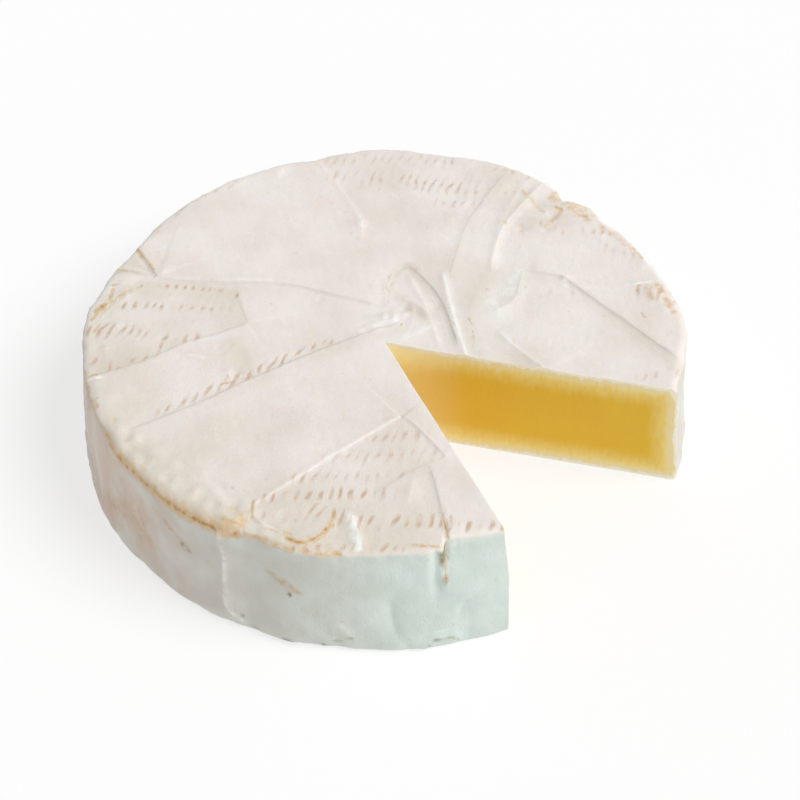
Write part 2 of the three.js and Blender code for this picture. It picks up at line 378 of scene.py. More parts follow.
@dataclass
class WheelForm:
    """The wheel's uneven round form: its profile, its rim and the notch.

    The notch runs from the front cut to the back cut, as bearings from the point of the cut.
    """

    rim_radius: float = 68.4
    top_height: float = 29.0
    belly_radius: float = 70.8
    belly_height: float = 3.0
    shoulder_round: float = 1.8
    foot_round: float = 1.4
    cut_point: tuple[float, float] = (0.3, -4.2)
    back_cut: float = -13.9
    front_cut: float = 293.1
    # Share of a rim lump that is left at the foot.
    lump_at_foot: float = 0.35
    # The tuck in the front rim: its angle, how sudden it is, how far round it goes on, how deep
    # it is, and the height where it starts.
    tuck_angle: float = 280.5
    tuck_edge: float = 0.7
    tuck_fade: float = 12.0
    tuck_depth: float = 3.8
    tuck_start: float = 15.0
    lumps: tuple[RimLump, ...] = (
        RimLump(178, 1.2, 9), RimLump(154, -1.4, 9), RimLump(105, -0.9, 3), RimLump(91, 0.9, 7),
        RimLump(63, 0.9, 9), RimLump(47, -2.6, 2.6), RimLump(35, -1.2, 5), RimLump(3, 1.4, 9),
        RimLump(214, 0.6, 7), RimLump(232, 0.6, 8), RimLump(252, 0.9, 6), RimLump(273, -0.4, 5))
    side_folds: tuple[SidePatch, ...] = (
        SidePatch(241, 2.2, 3, 29, 0.45), SidePatch(246, 2.5, 0, 22, -0.5),
        SidePatch(271, 2.0, 3, 18, -0.4), SidePatch(279, 1.0, 16, 29, -1.0),
        SidePatch(284, 2.0, 0, 13, -0.4), SidePatch(216, 5.0, 2, 24, -0.5),
        SidePatch(196, 3.0, 12, 29, 0.6), SidePatch(150, 3.0, 0, 20, 0.5),
        SidePatch(118, 4.0, 6, 26, -0.5), SidePatch(74, 3.0, 0, 24, 0.5),
        SidePatch(24, 3.5, 4, 24, -0.5))
    side_ridges: tuple[Stroke, ...] = (
        # The long pinched line down the front left, and its foot that turns to the right.
        Stroke(((240, 29), (239.9, 24.5), (240.7, 19.7), (241, 11), (241.5, 5.6), (244.5, 2.8)), 1.7, 0.42),
        # Flaps at the foot in front, where the wrapper bunched under.
        Stroke(((258.5, 2.6), (261.4, 3.6), (264.3, 5.2)), 1.0, 0.35),
        Stroke(((259, 0.6), (261.4, 1.5), (264.3, 1.2)), 0.9, 0.4),
        Stroke(((266, 4.6), (270, 4.4), (272.6, 4.4)), 1.1, 0.4),
        Stroke(((271.0, 13), (271.4, 7.4), (272.8, 3.8), (273.8, 1.2)), 1.1, -0.35),
        Stroke(((276.5, 1.2), (278.6, 3.9), (281.0, 4.2), (283.4, 1.9)), 1.0, 0.45),
        Stroke(((287, 15), (284.3, 12.9), (282.8, 8.4), (280.4, 4.4)), 1.1, -0.3),
        # The same kinds of line on the sides that face away.
        Stroke(LEFT_FRONT_LINE, 1.2, 0.35), Stroke(((186, 4), (190, 5.2), (194, 3.2)), 1.1, 0.4),
        Stroke(LEFT_BACK_LINE, 1.2, 0.4), Stroke(((139, 4.4), (144, 5), (147, 2)), 1.1, 0.45),
        Stroke(BACK_LEFT_LINE, 1.2, 0.4), Stroke(((104, 3), (108, 5.2), (113, 3.4)), 1.1, 0.4),
        Stroke(((97, 27), (99, 16), (97, 8)), 1.2, -0.35), Stroke(BACK_RIGHT_LINE, 1.2, 0.45),
        Stroke(((70, 3), (75, 5), (79, 2)), 1.1, 0.4), Stroke(((30, 4), (35, 5.4), (39, 2.6)), 1.1, 0.4),
        Stroke(((12, 27), (10, 16), (12, 5)), 1.2, 0.35))
    side_swell: Swell = Swell(seed=5, height=0.22, shortest=7.0, longest=34.0)
    side_pucker: Swell = Swell(seed=9, height=0.05, shortest=1.8, longest=5.0)
    rim_pucker: Swell = Swell(seed=15, height=0.13, shortest=2.6, longest=12.0)
    foot_pucker: Swell = Swell(seed=21, height=0.14, shortest=5.0, longest=16.0)
    # Heights between which the rim's puckers set in and the foot's end, and the share of all
    # relief that is left on the underside's edge.
    rim_pucker_from: Span = (23.0, 28.0)
    foot_pucker_to: Span = (2.0, 7.0)
    relief_at_foot: float = 0.4
    settling_turns: int = 4

    def rim_offset(self, angle: np.ndarray, z: np.ndarray) -> np.ndarray:
        """Works out how far the rim stands out, by its lumps and the tuck.

        Each lump is a bell of the angle that fades towards the foot. The tuck is a step in at
        its angle that dies away past it, and shows only near the top.

        Args:
            angle: The points' angles in degrees.
            z: The points' heights.

        Returns:
            The offset at each point.
        """
        total = sum(lump.out * bell(turn(lump.angle, angle), lump.spread) for lump in self.lumps)
        total = total * (self.lump_at_foot + (1.0 - self.lump_at_foot) * z / self.top_height)
        past = turn(self.tuck_angle, angle)
        tuck = smooth(-self.tuck_edge, self.tuck_edge, past)
        tuck = tuck * np.exp(-np.maximum(past, 0.0) / self.tuck_fade)
        return total - self.tuck_depth * tuck * smooth(self.tuck_start, self.top_height, z)

    def side_offset(self, points: np.ndarray, angle: np.ndarray) -> np.ndarray:
        """Adds up how far folds, ridges and puckers push the side out.

        The puckers are strongest at the rim and at the foot, where the rind was folded over,
        and the whole sum shrinks round the foot's bend, so that the wheel rests flat.

        Args:
            points: Points, as an array whose last axis is x, y, z.
            angle: Their angles in degrees.

        Returns:
            The offset at each point.
        """
        z = points[..., 2]
        run = unwound(angle)
        folds = sum(fold.cover(angle, z) for fold in self.side_folds)
        ridges = sum(ridge.cover(run, z, SIDE_MM_PER_DEGREE) for ridge in self.side_ridges)
        rough = self.side_swell.at(points) + self.side_pucker.at(points)
        rough += self.rim_pucker.at(points) * smooth(*self.rim_pucker_from, z)
        rough += self.foot_pucker.at(points) * (1.0 - smooth(*self.foot_pucker_to, z))
        share = self.relief_at_foot + (1.0 - self.relief_at_foot) * smooth(0.0, self.foot_round, z)
        return (folds + ridges + rough) * share

    def profile(self, arc: int, side: int) -> np.ndarray:
        """Works out the profile from the top's edge, over shoulder and side, to the foot.

        Args:
            arc: Steps round each rounded corner.
            side: Steps down the side.

        Returns:
            An array of radius and height: a quarter circle, a straight slope, a quarter circle.
        """
        quarter = np.linspace(math.pi / 2.0, 0.0, arc + 1)
        shoulder = np.stack([
            self.rim_radius - self.shoulder_round * (1.0 - np.cos(quarter)),
            self.top_height - self.shoulder_round * (1.0 - np.sin(quarter))], axis=1)
        share = np.linspace(0.0, 1.0, side + 1)[1:-1, None]
        belly = np.array([self.belly_radius, self.belly_height])
        slope = shoulder[-1] * (1.0 - share) + belly * share
        foot_at = np.array([self.belly_radius - self.foot_round, self.foot_round])
        foot = foot_at + self.foot_round * np.stack([np.sin(quarter), -np.cos(quarter)], axis=1)
        return np.vstack([shoulder, slope, belly, foot])

    def spread_round(self, profile: np.ndarray, bearing: np.ndarray) -> np.ndarray:
        """Carries the profile round the wheel along rays from the point of the cut.

        A ray meets the outline where its distance t solves |P + t u| = R, and R changes with
        the angle, so t and the angle are worked out in turn until they settle.

        Args:
            profile: Radius and height of each station.
            bearing: The rays' bearings in radians.

        Returns:
            Points in an array of stations by rays by x, y, z.
        """
        u = np.stack([np.cos(bearing), np.sin(bearing)], axis=1)
        start = np.array(self.cut_point)
        lean = u @ start
        radius, z = profile[:, :1], np.repeat(profile[:, 1:], len(bearing), axis=1)
        on_side = smooth(self.rim_radius - self.shoulder_round, self.rim_radius, radius)
        reach = radius
        for _ in range(self.settling_turns):
            t = -lean + np.sqrt(lean ** 2 - start @ start + reach ** 2)
            xy = start + t[..., None] * u
            angle = np.degrees(np.arctan2(xy[..., 1], xy[..., 0]))
            points = np.dstack([xy, z])
            reach = radius + self.rim_offset(angle, z) + on_side * self.side_offset(points, angle)
        return points


@dataclass
class RimKnobs:
    """Small knobs of dried rind along the rim, crowded where the wrapper was folded over.

    Inset is how far inside the rim they lie, and reach how far inside it any of them shows.
    """

    seed: int = 11
    around: int = 90
    crowded: int = 100
    crowd_from: float = 206.0
    crowd_to: float = 252.0
    inset: Span = (0.4, 7.0)
    radius: Span = (0.8, 1.9)
    height: Span = (0.04, 0.34)
    reach: float = 9.0

    def at(self, x: np.ndarray, y: np.ndarray, rim: float) -> tuple[np.ndarray, np.ndarray]:
        """Adds up the knobs, each a bell at a seeded place inside the rim.

        Args:
            x: The points' x.
            y: The points' y.
            rim: The rim's radius.

        Returns:
            The knobs' height, and how near each point is to a knob's middle, from 0 to 1.
        """
        draw = np.random.default_rng(self.seed)
        angle = np.radians(np.concatenate([
            draw.uniform(0.0, 360.0, self.around),
            draw.uniform(self.crowd_from, self.crowd_to, self.crowded)]))
        count = self.around + self.crowded
        out = rim - draw.uniform(*self.inset, count)
        radius = draw.uniform(*self.radius, count)
        height = draw.uniform(*self.height, count)
        near_rim = np.hypot(x, y) > rim - self.reach
        gap = np.hypot(x[near_rim, None] - out * np.cos(angle), y[near_rim, None] - out * np.sin(angle))
        share = np.exp(-((gap / radius) ** 2))
        rise, knob = np.zeros_like(x), np.zeros_like(x)
        rise[near_rim] = (share * height).sum(axis=1)
        knob[near_rim] = share.max(axis=1)
        return rise, knob


@dataclass
class RindFolds:
    """The relief of the top face, as the paper and the drying mat left it."""

    folds: tuple[Fold, ...] = (
        # The long lap from the left rim to the middle.
        Fold(((-61, 33), (-57, 26), (-53.5, 19.6)), 0.4, 0.0, 0.8, 9, dark=0.3, taper=(2.0, 0.4)),
        Fold(((-53.5, 19.2), (-46, 18), (-36, 17.4), (-22, 16.5), (-10, 12), (0, 8.5)),
             0.35, 0.0, 0.9, 12, dark=0.12, taper=(0.4, 5.0)),
        # The sunken panel on the left, bounded by a corner of rind that lies over it.
        Fold(((-34.5, 15), (-33.2, 9), (-31.4, 3)), 0.2, 0.0, 0.9, 9, taper=(2.0, 0.4)),
        Fold(((-31.4, 2.7), (-38, -0.5), (-45, -3.3), (-55, -9.8), (-67, -15.2)),
             0.26, 0.0, 0.8, 9, dark=0.04, light=0.08, taper=(0.4, 2.0)),
        # The long straight lap from the middle to the front left.
        Fold(((5, 3.3), (-10, -4.3), (-30, -15.7), (-40, -22.7), (-57, -32.2)),
             0.32, 0.05, 0.9, 12, dark=0.05, light=0.05),
        # The pointed lap in front, whose inside is the lower panel.
        Fold(((-29.2, -55.7), (-20.3, -48.3), (-10.3, -39.3), (1.7, -29.7), (3.6, -28.3)),
             0.33, 0.1, 0.6, 10, light=0.32, taper=(2.0, 0.3)),
        Fold(((3.8, -28.3), (6.7, -31.2), (13.6, -41)), 0.28, 0.08, 0.6, 10, dark=0.05, light=0.15,
             taper=(0.3, 2.0)),
        Fold(((13, -40.4), (5, -45.2), (-3, -52)), 0.15, 0.05, 0.9, 8, dark=0.08),
        # The upright crease that ends in the tuck at the front rim.
        Fold(((9.1, -41.4), (10.1, -46), (11.6, -55), (13.3, -66)), 0.3, 0.0, 0.8, 8, dark=0.06,
             light=0.05, taper=(5.0, 1.0)),
        Fold(((-7.7, -56.5), (-6.5, -60.5), (-5.3, -67)), 0.0, 0.6, 1.4, 1, light=0.35, taper=(2.0, 2.0)),
        # The folds that fan out from the middle to the back.
        Fold(((-5.3, 31), (-5.3, 40), (-10.8, 54), (-17.8, 67)), 0.16, 0.05, 0.9, 12, light=0.05),
        Fold(((32, 60), (25, 48), (20, 37), (15.5, 19)), 0.2, 0.15, 1.4, 9),
        Fold(((13.8, 21), (14.6, 15), (15.5, 8), (16.8, 0), (19.2, -12)), 0.0, 0.36, 1.2, 1, light=0.7,
             taper=(3.0, 2.5)),
        Fold(((25.7, 20), (28.2, 33), (33.6, 44), (42.6, 57)), 0.2, 0.3, 1.1, 9, light=0.35),
        # The drop-shaped hollow beside the point of the cut, and the ridge that stands in it.
        Fold(((17.0, -6), (13.5, 10.2), (8.5, 20), (5, 22.8), (1.9, 17.8), (0.4, 8)),
             -0.4, 0.08, 1.2, 8, dark=0.12, light=0.08),
        Fold(((5.6, 21), (9.6, 9), (13.0, -7)), 0.0, 0.22, 1.0, 1, light=0.3),
        # The panel on the right: its raised inner edge, and the long lap that crosses it.
        Fold(((33.2, 22.5), (30.3, 10.5), (24, 5.4)), 0.2, 0.4, 1.8, 10, light=0.2),
        Fold(((25.5, 0.6), (29, -4.9), (37, -14.4)), 0.26, 0.2, 0.8, 10, light=0.45, taper=(3.0, 1.0)),
        Fold(((34, 20.6), (39, 19.4), (43, 17.3), (50, 9.3), (67, -10.7)),
             0.4, 0.05, 0.8, 10, dark=0.12, light=0.08, taper=(3.0, 2.0)),
        # The flap at the left rim.
        Fold(((-67.7, 2.8), (-63.7, 9.7), (-56.7, 16.7)), 0.3, 0.1, 0.7, 7, dark=0.3, light=0.15),
        Fold(((-66, 19.8), (-61, 21.8), (-55, 20.3)), 0.2, 0.1, 0.7, 5, dark=0.3),
        # Slight creases between the main folds.
        Fold(((41, 61), (32.5, 48.5), (26.5, 31.5)), 0.0, 0.2, 1.2, 1, light=0.15),
        Fold(((36.5, 61), (28.5, 51), (21.5, 38.5)), 0.0, 0.15, 1.3, 1),
        Fold(((28.5, 62), (21, 50), (15, 36)), 0.0, 0.1, 1.5, 1),
        Fold(((56, 13.9), (60, 15.4), (66, 16.4)), 0.1, 0.15, 0.8, 5, light=0.8),
        Fold(((-7, -1.6), (-2, 2.0), (3.4, 3.6)), 0.0, 0.25, 0.8, 1, light=0.35, taper=(2.0, 2.0)),
        Fold(((4.0, 12.5), (8.4, 8.6), (10.6, 3.4)), 0.0, 0.3, 0.9, 1, light=0.2, taper=(2.0, 2.0)),
        Fold(((-33.6, -4), (-30.6, -14)), 0.0, -0.3, 1.8, 1),
        Fold(((-46, -7.7), (-40, -8.7)), 0.0, 0.22, 0.8, 1, light=0.25, taper=(2.0, 2.0)),
        Fold(((6.5, -45), (4.5, -56)), 0.0, 0.25, 1.6, 1, light=0.3),
        Fold(((-40, -42), (-36, -52)), 0.0, 0.12, 1.4, 1, light=0.1),
        Fold(((-28, -53.4), (-27.7, -57.4), (-25, -60.4)), 0.25, 0.1, 0.8, 5, dark=0.2, taper=(2.0, 2.0)),
        Fold(((-21, -63.4), (-17, -65.4), (-13, -62.9), (-10.5, -58.4)), 0.3, 0.15, 0.8, 5, light=0.15,
             taper=(2.0, 2.0)))
    bumps: tuple[Spot, ...] = (
        Spot(2.4, 4.8, 1.1, 0.5), Spot(-2.0, 0.5, 1.7, 0.35), Spot(7.5, 0.2, 3.0, 0.35),
        Spot(43, 17.8, 0.9, 0.6), Spot(27.5, 6.5, 3.2, 0.45), Spot(5, 8.5, 1.4, -0.5),
        Spot(-35, -13, 1.6, 0.3), Spot(-61, 19, 2.2, 0.4), Spot(37.8, 46, 1.8, -0.6),
        Spot(41.5, 42, 1.6, -0.5), Spot(33.7, 36.5, 1.2, -0.4), Spot(39.6, 36, 1.2, -0.4),
        Spot(-5.5, 39, 1.6, 0.4), Spot(64, 13, 2.5, 0.4), Spot(4.6, 5.6, 0.9, 0.35),
        Spot(0.0, 5.0, 0.9, 0.35), Spot(12, 8, 1.2, -0.3), Spot(46, 45, 2.2, 0.5))
    swell: Swell = Swell(seed=3, height=0.12, shortest=9.0, longest=46.0)
    pucker: Swell = Swell(seed=7, height=0.02, shortest=1.8, longest=4.5)
    # The top face without its laps lies a little low, because most laps stand up from it.
    level: float = -0.35
    # Distances from a fold between which its line fades out.
    line_reach: float = 1.6
    line_gone: float = 2.6

    def relief(self, x: np.ndarray, y: np.ndarray) -> tuple[np.ndarray, dict[str, np.ndarray]]:
        """Adds up the folds, bumps and unevenness.

        Each fold adds lap x rise x exp(-offset / reach), where rise is a smooth step across
        its width, and ridge x bell, all faded over its taper at both ends.

        Args:
            x: The points' x.
            y: The points' y.

        Returns:
            The height added to the top face, and masks for the nearest fold: the distance up
            its step in millimetres, the step's height, and how dark and light its line is. All
            but the distance fade out between two folds, where the nearest one changes.
        """
        flat = np.stack([x, y, np.zeros_like(x)], axis=-1)
        height = self.level + self.swell.at(flat) + self.pucker.at(flat)
        up_step = np.full_like(x, self.line_gone)
        masks = {name: np.zeros_like(x) for name in ("step", "dark", "light")}
        for fold in self.folds:
            curve = Curve(fold.path)
            offset, run = curve.beside(x, y)
            fade = smooth(0.0, fold.taper[0], run) * smooth(0.0, fold.taper[1], curve.length - run)
            lap = fold.lap * smooth(-fold.width, fold.width, offset)
            lap = lap * np.exp(-np.maximum(offset, 0.0) / fold.reach)
            height += (lap + fold.ridge * bell(offset, fold.width)) * fade
            nearest = np.abs(offset) < np.abs(up_step)
            up_step[nearest] = math.copysign(1.0, fold.lap) * offset[nearest]
            near = fade * (1.0 - smooth(self.line_reach, self.line_gone, np.abs(offset)))
            for name, most in (("step", abs(fold.lap)), ("dark", fold.dark), ("light", fold.light)):
                masks[name][nearest] = most * near[nearest]
        for bump in self.bumps:
            height += bump.height * bell(np.hypot(x - bump.x, y - bump.y), bump.radius)
        return height, masks | {"beside": up_step}


@dataclass
class RindMarks:
    """Where the mat's slashes, old mould, stains, fresh white bloom, painted highlights and painted shade
    show on the rind.
    """

    slashes: tuple[Stroke, ...] = (
        # The sunken panel on the left.
        Stroke(((-61, 9.5), (-50, 9)), 2.6, 0.75), Stroke(((-50, 9), (-36, 8)), 2.4, 0.48),
        Stroke(((-52, 13), (-42, 12.5)), 1.8, 0.45), Stroke(((-52, 16.5), (-40, 14.8)), 1.6, 0.7),
        Stroke(((-38, 14.5), (-34.5, 12.5)), 1.8, 0.65), Stroke(((-68, 0.8), (-59, 0.8)), 3.8, 0.85),
        Stroke(((-59, -0.5), (-50, -1.8)), 3.4, 0.75), Stroke(((-54, -5.5), (-42, -1)), 2.8, 0.75),
        Stroke(((-57, -9), (-51, -7)), 2.2, 0.8), Stroke(((-66, -9), (-61, -12)), 2.8, 0.7),
        Stroke(((-50, 4), (-40, 4)), 2.2, 0.3),
        # Above the long straight lap.
        Stroke(((-39, -19), (-30, -13.7), (-23, -9.8)), 2.8, 0.85),
        Stroke(((-24, -9), (-12, -3.5)), 2.2, 0.6), Stroke(((-50, -26), (-38, -19)), 2.2, 0.6),
        # The back.
        Stroke(((-15, 63.5), (-2, 64.5), (21, 62.5)), 4.0, 0.48), Stroke(((9, 54.5), (22, 52)), 6.5, 0.6),
        Stroke(((-12, 57.5), (9, 55.5)), 6.0, 0.5), Stroke(((28, 60), (37, 56.5)), 2.2, 0.5),
        Stroke(((13, 47), (24, 46.5)), 3.0, 0.5), Stroke(((30, 50), (38, 51)), 3.0, 0.4),
        Stroke(((-46, 49), (-34, 57)), 2.2, 0.4), Stroke(((-56, 36), (-48, 46)), 2.4, 0.5),
        # The right.
        Stroke(((28, -3.5), (64, -3)), 6.5, 0.25), Stroke(((38, 13), (47, 12)), 3.4, 0.36),
        Stroke(((60, 13), (67, 11)), 4.4, 0.8), Stroke(((52, 30), (61, 26)), 4.6, 0.45),
        Stroke(((49, 36), (56, 34)), 3.0, 0.45), Stroke(((57, -16), (66, -14)), 2.6, 0.5),
        Stroke(((36, 40), (44, 35)), 2.4, 0.5),
        # The lower panel in front and the front rim.
        Stroke(((-11, -58.9), (12.5, -58.9)), 2.8, 1.0), Stroke(((-8, -66.2), (3, -66.2)), 2.0, 0.9),
        Stroke(((-24, -66.2), (-11, -66.2)), 2.0, 0.9), Stroke(((-12, -40.5), (11, -39.5)), 5.0, 0.45),
        Stroke(((-3, -34.5), (8, -34)), 3.2, 0.55),
        Stroke(((-26, -52.3), (-12, -51.3)), 2.2, 0.95), Stroke(((-19, -47), (-12, -45.5)), 2.6, 0.7),
        Stroke(((-11, -51), (1, -51.3)), 3.0, 0.9), Stroke(((14, -60.6), (24.5, -60.6)), 2.6, 1.0),
        Stroke(((-15, -56), (-9, -57.5)), 3.2, 0.9), Stroke(((-7, -60.5), (-2, -59.5)), 3.2, 1.0),
        Stroke(((-25, -57.5), (-16, -58.5)), 2.4, 0.6), Stroke(((-35, -48.5), (-28, -50.5)), 1.3, 0.5),
        Stroke(((-15, -45.5), (5, -46)), 3.4, 0.45))
    rust: tuple[Stroke, ...] = (
        # The left rim.
        Stroke(((-60.5, 32), (-58, 28), (-54.5, 22)), 0.9, 0.7),
        Stroke(((-58.6, 29), (-57.6, 26.5)), 1.0, 0.8),
        Stroke(((-67.6, 4.5), (-65.4, 8), (-62.6, 11.4), (-59.4, 14.6), (-57, 16.6)), 1.1, 0.6),
        Stroke(((-66.5, 7.5), (-65, 9.5)), 1.8, 0.85), Stroke(((-64, 11), (-63.6, 15)), 1.2, 0.65),
        Stroke(((-64, 22), (-61, 21.6)), 0.9, 0.7), Stroke(((-65, 16.5), (-62.4, 16.6)), 0.9, 0.6),
        Stroke(((-57.5, 35), (-54, 39)), 1.3, 0.45), Stroke(((-50, 45), (-44, 51.5)), 1.3, 0.4),
        Stroke(((-67.8, -14), (-64.5, -14)), 0.8, 0.7), Stroke(((-66.8, 0.5), (-65.6, 3)), 1.0, 0.6),
        Stroke(((-67.5, -16), (-66, -20), (-64, -24)), 1.6, 0.85),
        # Under the long straight lap.
        Stroke(((-36.5, -17.2), (-33, -16), (-29.5, -14.4)), 0.9, 0.6),
        # The front rim.
        Stroke(((-20.5, -63.6), (-17.5, -65), (-14, -63.6), (-11.4, -60)), 1.1, 0.95),
        Stroke(((-28, -53), (-27.9, -57.5)), 0.9, 0.7), Stroke(((-26, -60.5), (-20, -62.4)), 1.0, 0.6),
        Stroke(((12.4, -58.5), (13.0, -66)), 0.9, 0.85), Stroke(((5.5, -65.6), (12.5, -66.1)), 0.8, 0.7),
        Stroke(((-10.8, -55.5), (-11.2, -60)), 1.1, 0.6), Stroke(((-34, -58.5), (-30, -60.3)), 1.6, 0.75),
        # The dented back right.
        Stroke(((34.5, 51), (37, 47), (39, 42.5)), 2.6, 0.42),
        Stroke(((43.2, 43.5), (42.0, 41), (39.5, 37)), 2.2, 0.5),
        Stroke(((45.5, 45), (48, 43), (49.5, 40.5)), 3.2, 0.62), Stroke(((33.7, 38), (33.6, 34)), 2.4, 0.4),
        Stroke(((29.5, 39), (31, 34)), 2.4, 0.36), Stroke(((42.6, 44.6), (43.8, 43.6)), 1.2, 0.8),
        Stroke(((47, 47), (51, 43.5)), 1.0, 0.5), Stroke(((53, 37), (57, 32), (60.5, 26)), 3.0, 0.42),
        # The right rim.
        Stroke(((61.5, 14.6), (62.6, 10)), 2.2, 0.5),
        Stroke(((64.3, 15.6), (65.6, 10.5), (67, 6)), 2.6, 0.55),
        Stroke(((60, 29), (62, 25)), 1.3, 0.5), Stroke(((59.5, 5.5), (60.3, 3.5)), 0.7, 0.6),
        # The middle.
        Stroke(((19.6, 4), (20.4, 0), (20.2, -6)), 0.8, 0.5), Stroke(((0.4, 15), (1.5, 14)), 0.9, 0.5),
        Stroke(((4.2, 2.5), (3.2, 0.5)), 0.8, 0.4), Stroke(((3.4, 9.6), (6.4, 7.4)), 1.3, 0.42),
        Stroke(((1.0, 17.5), (1.8, 20)), 1.0, 0.45), Stroke(((15.6, 21), (15.9, 17)), 1.0, 0.4))
    shades: tuple[Stroke, ...] = (
        # Olive shade in the hollow by the cut, and in the valley right of its ridge.
        Stroke(((7.5, 20), (11.5, 13.5), (14, 5), (16, -6)), 3.0, 0.3),
        Stroke(((25, 21), (21, 12), (19, 2), (20.5, -8)), 5.0, 0.45),
        Stroke(((3.5, 12), (7, 7), (11, 5)), 3.4, 0.4),
        Stroke(((0.2, 8.5), (1.2, 15), (3.0, 20.5), (5.6, 23), (8, 21.4)), 1.5, 0.5),
        Stroke(((-4, 4.6), (0, 5.8), (4, 9.4)), 1.3, 0.4),
        # The low side of the long laps.
        Stroke(((36, 19), (43, 15.8), (50, 7.8), (66, -12.2)), 2.6, 0.25),
        Stroke(((-34.5, -4), (-31.5, -14)), 3.6, 0.4),
        Stroke(((3, 0.8), (-20, -11.2), (-50, -29.2)), 3.2, 0.22),
        Stroke(((24.5, -1), (28, -7), (35, -14)), 4.5, 0.3),
        Stroke(((9.5, -46), (10.5, -56), (11.5, -64)), 3.0, 0.15),
        # The broad duller stretches inside the rim at the front left, the left and the front.
        Stroke(((-67, -22), (-60, -35), (-38, -57), (-10, -66)), 23.0, 0.45),
        Stroke(((-66, 6), (-58, 30), (-44, 48)), 9.0, 0.2),
        Stroke(((-26, -64), (-10, -66), (12, -66)), 5.0, 0.3),
        # Between the folds at the back.
        Stroke(((38, 52), (30.5, 41), (26.5, 28)), 2.2, 0.15),
        Stroke(((31, 55), (24, 42), (19, 30)), 2.4, 0.15),
        Stroke(((44, 41), (36, 38)), 5.0, 0.2))
    # Painted shade over low panels between the folds, in the same mask as the shade strokes.
    panels: tuple[Panel, ...] = (
        # The sunken panel on the left.
        Panel(((-66, 13), (-57, 18.3), (-45, 17.5), (-34.5, 15.3), (-33.2, 9), (-31.4, 2.8), (-38, -0.5),
               (-45, -3.3), (-55, -9.8), (-64, -14.2), (-70, -4)), 0.26),
        # The inside of the pointed lap, and the strip right of the upright crease.
        Panel(((-31, -57), (-20.3, -48.3), (-10.3, -39.3), (3.7, -28.4), (6.7, -31.2), (13.6, -41),
               (9.4, -43), (10.1, -46), (11.6, -55), (13.3, -68), (-10, -70), (-28, -64)), 0.03),
        Panel(((9, -42), (15, -42), (25, -62), (13.3, -66), (11.6, -55), (10.1, -46)), 0.06))
    bloom_and_highlight: tuple[Stroke, ...] = (
        # Painted highlights with fresh white bloom on the crests of folds, and where flaps meet.
        Stroke(((-38, 18.4), (-27, 18)), 1.8, 0.35), Stroke(((-5.5, 43), (-5.3, 35)), 2.2, 0.35),
        Stroke(((31.8, 20.5), (29.8, 13)), 2.6, 0.8), Stroke(((42.6, 19), (42.9, 15)), 1.2, 0.6),
        Stroke(((25.5, 9), (27, 5)), 3.4, 0.7), Stroke(((-7.2, -57.5), (-5.8, -66)), 2.3, 0.8),
        Stroke(((-63, 18.8), (-57, 19.6)), 1.6, 0.4), Stroke(((-2.5, 1), (3, 3.5)), 1.6, 0.5),
        Stroke(((13.9, -63.5), (14.8, -66)), 1.3, 0.9), Stroke(((5, -3), (10, 1)), 2.6, 0.5),
        Stroke(((-66.5, -15.3), (-63, -14.8)), 1.0, 0.7), Stroke(((57, 15.2), (60.5, 15.8)), 0.9, 0.5),
        Stroke(((-21.5, -62), (-25, -60)), 0.9, 0.5), Stroke(((27, 22), (29, 33), (34, 43)), 1.6, 0.35),
        Stroke(((15.2, 14), (16.4, 5), (17.6, -2)), 1.2, 0.5),
        # Cream lumps inside the front left rim.
        Stroke(((-63, -25), (-58, -34), (-50, -44), (-42, -51), (-32, -58)), 3.2, 0.3))
    rim_band: tuple[Stroke, ...] = (
        # Tan mould on the bend of the rim, thick at the front left.
        Stroke(((190, 27.8), (206, 27.4)), 1.5, 0.6),
        Stroke(((207, 27.2), (216, 27.3), (225, 27.0)), 2.3, 0.85),
        Stroke(((224, 27.0), (233, 26.9), (243, 27.7)), 2.7, 0.92),
        Stroke(((243, 28.0), (262, 28.2)), 1.4, 0.65),
        Stroke(((262, 28.6), (279, 28.6)), 0.8, 0.3), Stroke(((283, 28.8), (293, 28.8)), 0.8, 0.3),
        Stroke(((145, 28.2), (190, 28.0)), 1.2, 0.32), Stroke(((100, 28.6), (146, 28.4)), 0.9, 0.3),
        Stroke(((55, 28.6), (100, 28.8)), 0.8, 0.25), Stroke(((38, 28.2), (50, 28.4)), 1.6, 0.7),
        Stroke(((-14, 28.4), (34, 28.4)), 1.0, 0.4))
    side_stains: tuple[Stroke, ...] = (
        # The stained left, the nicks in front and the tuck, then the sides that face away.
        Stroke(((208, 7.8), (216, 12), (222, 10)), 6.0, 0.6), Stroke(((221, 20), (219, 8)), 5.0, 0.5),
        Stroke(((228.2, 20.4), (230.5, 19), (232.4, 17)), 1.3, 0.6),
        Stroke(((224, 22), (228, 20.4)), 1.5, 0.4),
        Stroke(((231.6, 17.6), (233.2, 16.6)), 1.8, 0.6), Stroke(((213, 14), (219, 17)), 5.0, 0.5),
        Stroke(((249.2, 19.8), (251.4, 19), (253.2, 17.8), (254.8, 16.3)), 1.8, 0.62),
        Stroke(((251, 18.2), (254, 16.6)), 2.4, 0.5),
        Stroke(((280.6, 30), (280.5, 24), (280.6, 19)), 1.6, 0.6),
        Stroke(((150, 18), (156, 9)), 4.0, 0.5), Stroke(((121, 18), (124, 14)), 1.8, 0.6),
        Stroke(((86, 8), (93, 11)), 4.0, 0.4), Stroke(((50, 22), (53, 12)), 2.2, 0.6),
        Stroke(((14, 10), (20, 7)), 3.5, 0.45), Stroke(((176, 12), (181, 16)), 4.0, 0.4))
